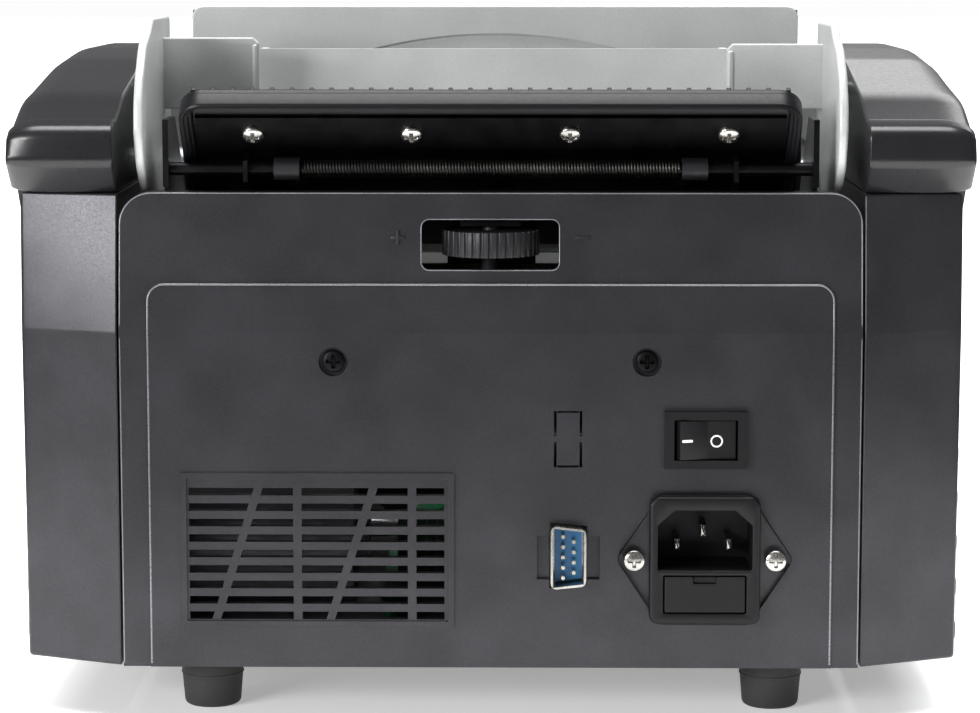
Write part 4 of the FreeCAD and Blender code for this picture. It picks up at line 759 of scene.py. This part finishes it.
class COUNTER_OT_screws(bpy.types.Operator):
    """Cross-recessed screws of the tray, the inlet and the rear cover"""
    bl_idname = "counter.screws"
    bl_label = "Screws"

    def execute(self, context):
        heads = []
        for x in (-63, -21, 21, 63):
            base = on_tray(np.array([x]), np.array([14.0]), np.array([3.2]))[0]
            heads.append(cross_head(base, TRAY_OUT, 2.9, 1.75, 0.75, 1.7, 1.0, 0.6))
        screws = piece("tray_screw_heads", heads, "nickel_plate", "tray", 50)
        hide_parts("tray_screws")
        heads = [cross_head((INLET_X + dx, FIELD_FACE + FLANGE_RISE, INLET_Z), (0, 1, 0), 2.8, 1.6, 0.8, 1.8,
                            1.0, 0.55)
                 for dx in (-18.75, 18.75)]
        screws = piece("inlet_screw_heads", heads, "nickel_plate", "machine", 50)
        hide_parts("inlet_screws")
        blades = []
        for x, z in ((-64, 46.9), (-50, 46.9), (-57, 50.7)):
            blade = box_outline(x - 0.85, x + 0.85, z - 1.7, z + 1.7, 0.25, 4)
            blades.append(slab(blade, FIELD_FACE - 16, FIELD_FACE - 6.5, 0.05, 0.6, rearward, 4))
        pins = piece("inlet_pin_blades", blades, "nickel_plate", "machine", 40)
        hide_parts("inlet_pins")
        heads = [cross_head((x, REAR_Y - 1.4, 97), (0, 1, 0), 2.9, 1.3, 0.8, 1.9, 0.9, 0.4)
                 for x in (-41.5, 41.5)]
        screws = piece("cover_screw_heads", heads, "black_oxide_steel", "machine", 50)
        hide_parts("cover_screws")
        return {"FINISHED"}


class COUNTER_OT_feet(bpy.types.Operator):
    """Tapered rubber feet with a rounded toe and a moulding line"""
    bl_idname = "counter.feet"
    bl_label = "Feet"

    def execute(self, context):
        low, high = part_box("feet")
        top = high.z / MM
        profile = arc_profile([(3.4, top), (8.6, top), (8.4, 9.2), (8.6, 8.9), (8.3, 8.5), (7.6, 0),
                               (3.4, 0), (3.4, 2)], [0.5, 0.2, 0.15, 0.2, 1.4, 0.4])
        parts = []
        for x in (-76.4, 76.4):
            for y in (-100, 100):
                parts.append(lathe(profile, (x, y, 0), (0, 0, 1), 56))
        feet = piece("rubber_feet", parts, "rubber_moulded_black", "machine", 40)
        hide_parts("feet")
        return {"FINISHED"}


class COUNTER_OT_spring(bpy.types.Operator):
    """Close-wound spring round the pivot rod"""
    bl_idname = "counter.spring"
    bl_label = "Pivot spring"

    def execute(self, context):
        turns = context.scene.counter_sizes.spring_turns
        wound = coil((0, 108, 147.2), 50.0, 2.1, 0.28, turns)
        spring = piece("pivot_spring_coil", [wound], "spring_steel_dark", "machine", 60)
        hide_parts("pivot_spring")
        return {"FINISHED"}


class COUNTER_OT_marks(bpy.types.Operator):
    """Plus and minus beside the thumbwheel, the rocker's legends, the display's digits and the key marks"""
    bl_idname = "counter.marks"
    bl_label = "Marks"

    def execute(self, context):
        stroke, reach = 0.42, 1.9
        plus = [(-reach, -stroke), (-stroke, -stroke), (-stroke, -reach), (stroke, -reach), (stroke, -stroke),
                (reach, -stroke), (reach, stroke), (stroke, stroke), (stroke, reach), (-stroke, reach),
                (-stroke, stroke), (-reach, stroke)]
        at = np.array([24.4, 129.6])
        raised = [slab(rounded(np.array(plus) + at, 0.12, 3), -0.2, 0.4, 0.0, 0.15, leaning, 3),
                  slab(box_outline(-26.3, -22.5, 129.2, 130.0, 0.3, 4), -0.2, 0.4, 0.0, 0.15, leaning, 3)]
        piece("wheel_marks", raised, "abs_black_spark_eroded", "machine")

        pivot, ridge = (-57.1, FIELD_FACE - 1.5), (-57.51, FIELD_FACE + 1.07)
        ends = [(pivot[0] + 8.15 * math.cos(math.radians(k)), pivot[1] + 8.15 * math.sin(math.radians(k)))
                for k in (33, 165)]

        def on_half(end):
            along = np.array(end) - np.array(ridge)
            along /= np.linalg.norm(along)
            out = np.array([-along[1], along[0]])
            out *= np.sign(out[1])

            def put(a, b, depth):
                return np.stack([ridge[0] + along[0] * a + out[0] * depth,
                                 ridge[1] + along[1] * a + out[1] * depth, b], -1)
            return put
        dash = slab(box_outline(4.1, 7.0, 75.95, 76.65, 0.2, 4), -0.05, 0.06, 0.0, 0.03, on_half(ends[0]), 3)
        put = on_half(ends[1])
        angle = np.linspace(0, 2 * math.pi, 40, endpoint=False)
        radii = np.array([1.25, 1.25, 1.65, 1.65, 1.25])
        depth = np.array([-0.05, 0.06, 0.06, -0.05, -0.05])
        a = 2.4 + radii[:, None] * np.cos(angle)
        b = 76.1 + radii[:, None] * np.sin(angle)
        ring = sheet(put(a, b, np.broadcast_to(depth[:, None], a.shape)), wrap_columns=True)
        piece("rocker_legends", [dash, ring], "pad_print_white", "rocker")

        segments = {"a": (0, 1, True), "b": (1, 0.5, False), "c": (1, -0.5, False), "d": (0, -1, True),
                    "e": (-1, -0.5, False), "f": (-1, 0.5, False), "g": (0, 0, True)}
        digits = {"0": "abcdef", "1": "bc", "5": "acdfg"}
        parts = []

        def digit(text, x, y, size):
            wide, tall = size * 0.27, size * 0.5
            for key in digits[text]:
                sx, sy, flat = segments[key]
                cx, cy = x + sx * wide * (0 if flat else 1), y + sy * tall
                dx, dy = (wide * 0.8, size * 0.055) if flat else (size * 0.055, tall * 0.44)
                bar = box_outline(cx - dx, cx + dx, cy - dy, cy + dy, size * 0.05, 4)
                parts.append(slab(bar, -0.15, 0.02, 0.0, 0.02, on_head, 2))
        for k, text in enumerate("0150"):
            digit(text, -62 + 9.5 * k, 70, 15)
        for k, text in enumerate("100"):
            digit(text, -20.5 + 4.6 * k, 65.5, 6.5)
        piece("display_digits", parts, "lcd_segment_pale", "machine")
        for name, x, y in (("mode_key", 20, 80), ("batch_key", 46, 80), ("add_key", 20, 60),
                           ("clear_key", 46, 60), ("start_key", 70, 70)):
            shapes = {"mode_key": [box_outline(x - 2.4, x - 1.2, y - 1.6, y + 1.6, 0.3, 3),
                                   box_outline(x - 0.5, x + 0.7, y - 1.6, y + 0.9, 0.3, 3),
                                   box_outline(x + 1.4, x + 2.6, y - 1.6, y + 0.2, 0.3, 3)],
                      "batch_key": [box_outline(x - 2.2, x + 2.2, y + k - 0.3, y + k + 0.3, 0.2, 3)
                                    for k in (-1.3, 0, 1.3)],
                      "add_key": [rounded(np.array(plus) * 0.9 + np.array([x, y]), 0.1, 3)],
                      "clear_key": [box_outline(x - 1.5, x + 1.5, y - 1.5, y + 1.5, 0.4, 4)],
                      "start_key": [rounded([(x - 1.3, y - 1.7), (x + 1.9, y), (x - 1.3, y + 1.7)], 0.25, 4)]}
            marks = [slab(shape, 1.3, 1.44, 0.0, 0.04, on_head, 2) for shape in shapes[name]]
            piece(f"{name}_mark", marks, "pad_print_dark", name)
        return {"FINISHED"}


class COUNTER_OT_stage(bpy.types.Operator):
    """Pale floor, soft lights and the camera"""
    bl_idname = "counter.stage"
    bl_label = "Stage"

    def execute(self, context):
        sizes = context.scene.counter_stage
        half, near = sizes.floor_half, 0.33

        def plane(name, corners, material, glossy):
            """A flat grid over four corners, given row by row."""
            mesh = bpy.data.meshes.new(name)
            mesh.from_pydata(corners, [], quads(2, 2).tolist())
            mesh.materials.append(material)
            thing = bpy.data.objects.new(name, mesh)
            context.scene.collection.objects.link(thing)
            thing.visible_glossy = glossy
        paper, tree = blank("paper_sweep_white")
        tone = spread(tree, grains(tree, 60.0, 3.0), 0, 1)
        shader = add(tree, "BsdfPrincipled", {"Base Color": between(tree, tone, "#F7F7F6", "#FBFBFB"),
                                              "Roughness": 0.9, "Emission Color": (1, 1, 1, 1),
                                              "Emission Strength": 0.35})
        close(paper, tree, shader.outputs[0])
        # Only the floor close to the machine shows in its lacquer; the far floor stays out of reflections.
        for name, x0, x1, y0, y1, glossy in (
                ("floor", -near, near, -near, near, True),
                ("floor_front", -near, near, -half, -near, False),
                ("floor_rear", -near, near, near, half, False),
                ("floor_left", near, half, -half, half, False),
                ("floor_right", -half, -near, -half, half, False)):
            plane(name, [(x0, y0, 0), (x0, y1, 0), (x1, y0, 0), (x1, y1, 0)], paper, glossy)
        lit_paper, tree = blank("backdrop_white_lit")
        tone = spread(tree, grains(tree, 900.0, 2.0), 0, 1)
        lit = add(tree, "Emission", {"Color": between(tree, tone, "#FBFBFB", "#FFFFFF"), "Strength": 1.0})
        close(lit_paper, tree, lit.outputs[0])
        plane("backdrop", [(-half, -9, 0), (-half, -9, 2), (half, -9, 0), (half, -9, 2)], lit_paper, False)

        world = bpy.data.worlds.new("studio")
        world.use_nodes = True
        world.node_tree.nodes["Background"].inputs["Color"].default_value = (0.96, 0.97, 1.0, 1)
        world.node_tree.nodes["Background"].inputs["Strength"].default_value = 0.22
        context.scene.world = world

        def softbox(name, place, aim, wide, tall, power, glossy=True):
            light = bpy.data.lights.new(name, "AREA")
            light.shape = "RECTANGLE"
            light.size, light.size_y, light.energy = wide, tall, power
            lamp = bpy.data.objects.new(name, light)
            lamp.location = place
            lamp.rotation_euler = (Vector(aim) - Vector(place)).to_track_quat("-Z", "Y").to_euler()
            lamp.visible_glossy = glossy
            context.scene.collection.objects.link(lamp)
        softbox("top_softbox", (0.0, 0.15, 1.5), (0, 0, 0), 1.3, 0.8, 30)
        softbox("left_softbox", (1.1, 1.15, 0.45), (0, 0, 0.1), 0.85, 0.34, 19)
        softbox("front_softbox", (-0.7, -2.2, 1.35), (0, 0, 0.15), 1.6, 0.8, 9)
        softbox("floor_softbox", (0, -4.0, 4.5), (0, -4.0, 0), 9, 7, 750, False)

        camera = bpy.data.cameras.new("camera")
        camera.sensor_width = 36
        camera.lens = sizes.lens
        camera.clip_start, camera.clip_end = 0.02, 60
        holder = bpy.data.objects.new("camera", camera)
        holder.location = (-0.010, 0.920, 0.2038)
        holder.rotation_euler = (math.radians(82.5), 0, math.radians(180.72))
        context.scene.collection.objects.link(holder)
        context.scene.camera = holder
        context.scene.view_settings.view_transform = "Standard"
        return {"FINISHED"}


OPERATORS = (COUNTER_OT_finish_nodes, COUNTER_OT_caps, COUNTER_OT_side_covers, COUNTER_OT_tray,
             COUNTER_OT_edges, COUNTER_OT_guides, COUNTER_OT_inlet, COUNTER_OT_screws,
              COUNTER_OT_feet, COUNTER_OT_spring, COUNTER_OT_marks, COUNTER_OT_stage)


class COUNTER_PT_panel(bpy.types.Panel):
    """Buttons and sizes of the banknote counter"""
    bl_idname = "COUNTER_PT_panel"
    bl_label = "Banknote counter"
    bl_space_type = "VIEW_3D"
    bl_region_type = "UI"
    bl_category = "Counter"

    def draw(self, context):
        for group in (context.scene.counter_sizes, context.scene.counter_stage):
            for name in group.__annotations__:
                self.layout.prop(group, name)
        for operator in OPERATORS:
            self.layout.operator(operator.bl_idname)


CLASSES = (CounterSizes, StageSizes, *OPERATORS, COUNTER_PT_panel)


def register():
    for cls in CLASSES:
        bpy.utils.register_class(cls)
    bpy.types.Scene.counter_sizes = bpy.props.PointerProperty(type=CounterSizes)
    bpy.types.Scene.counter_stage = bpy.props.PointerProperty(type=StageSizes)


def unregister():
    del bpy.types.Scene.counter_sizes
    del bpy.types.Scene.counter_stage
    for cls in reversed(CLASSES):
        bpy.utils.unregister_class(cls)


def main():
    register()
    for operator in OPERATORS:
        group, name = operator.bl_idname.split(".")
        result = getattr(getattr(bpy.ops, group), name)()
        if result != {"FINISHED"}:
            raise RuntimeError(f"{operator.bl_idname} did not finish")


if __name__ == "__main__":
    main()
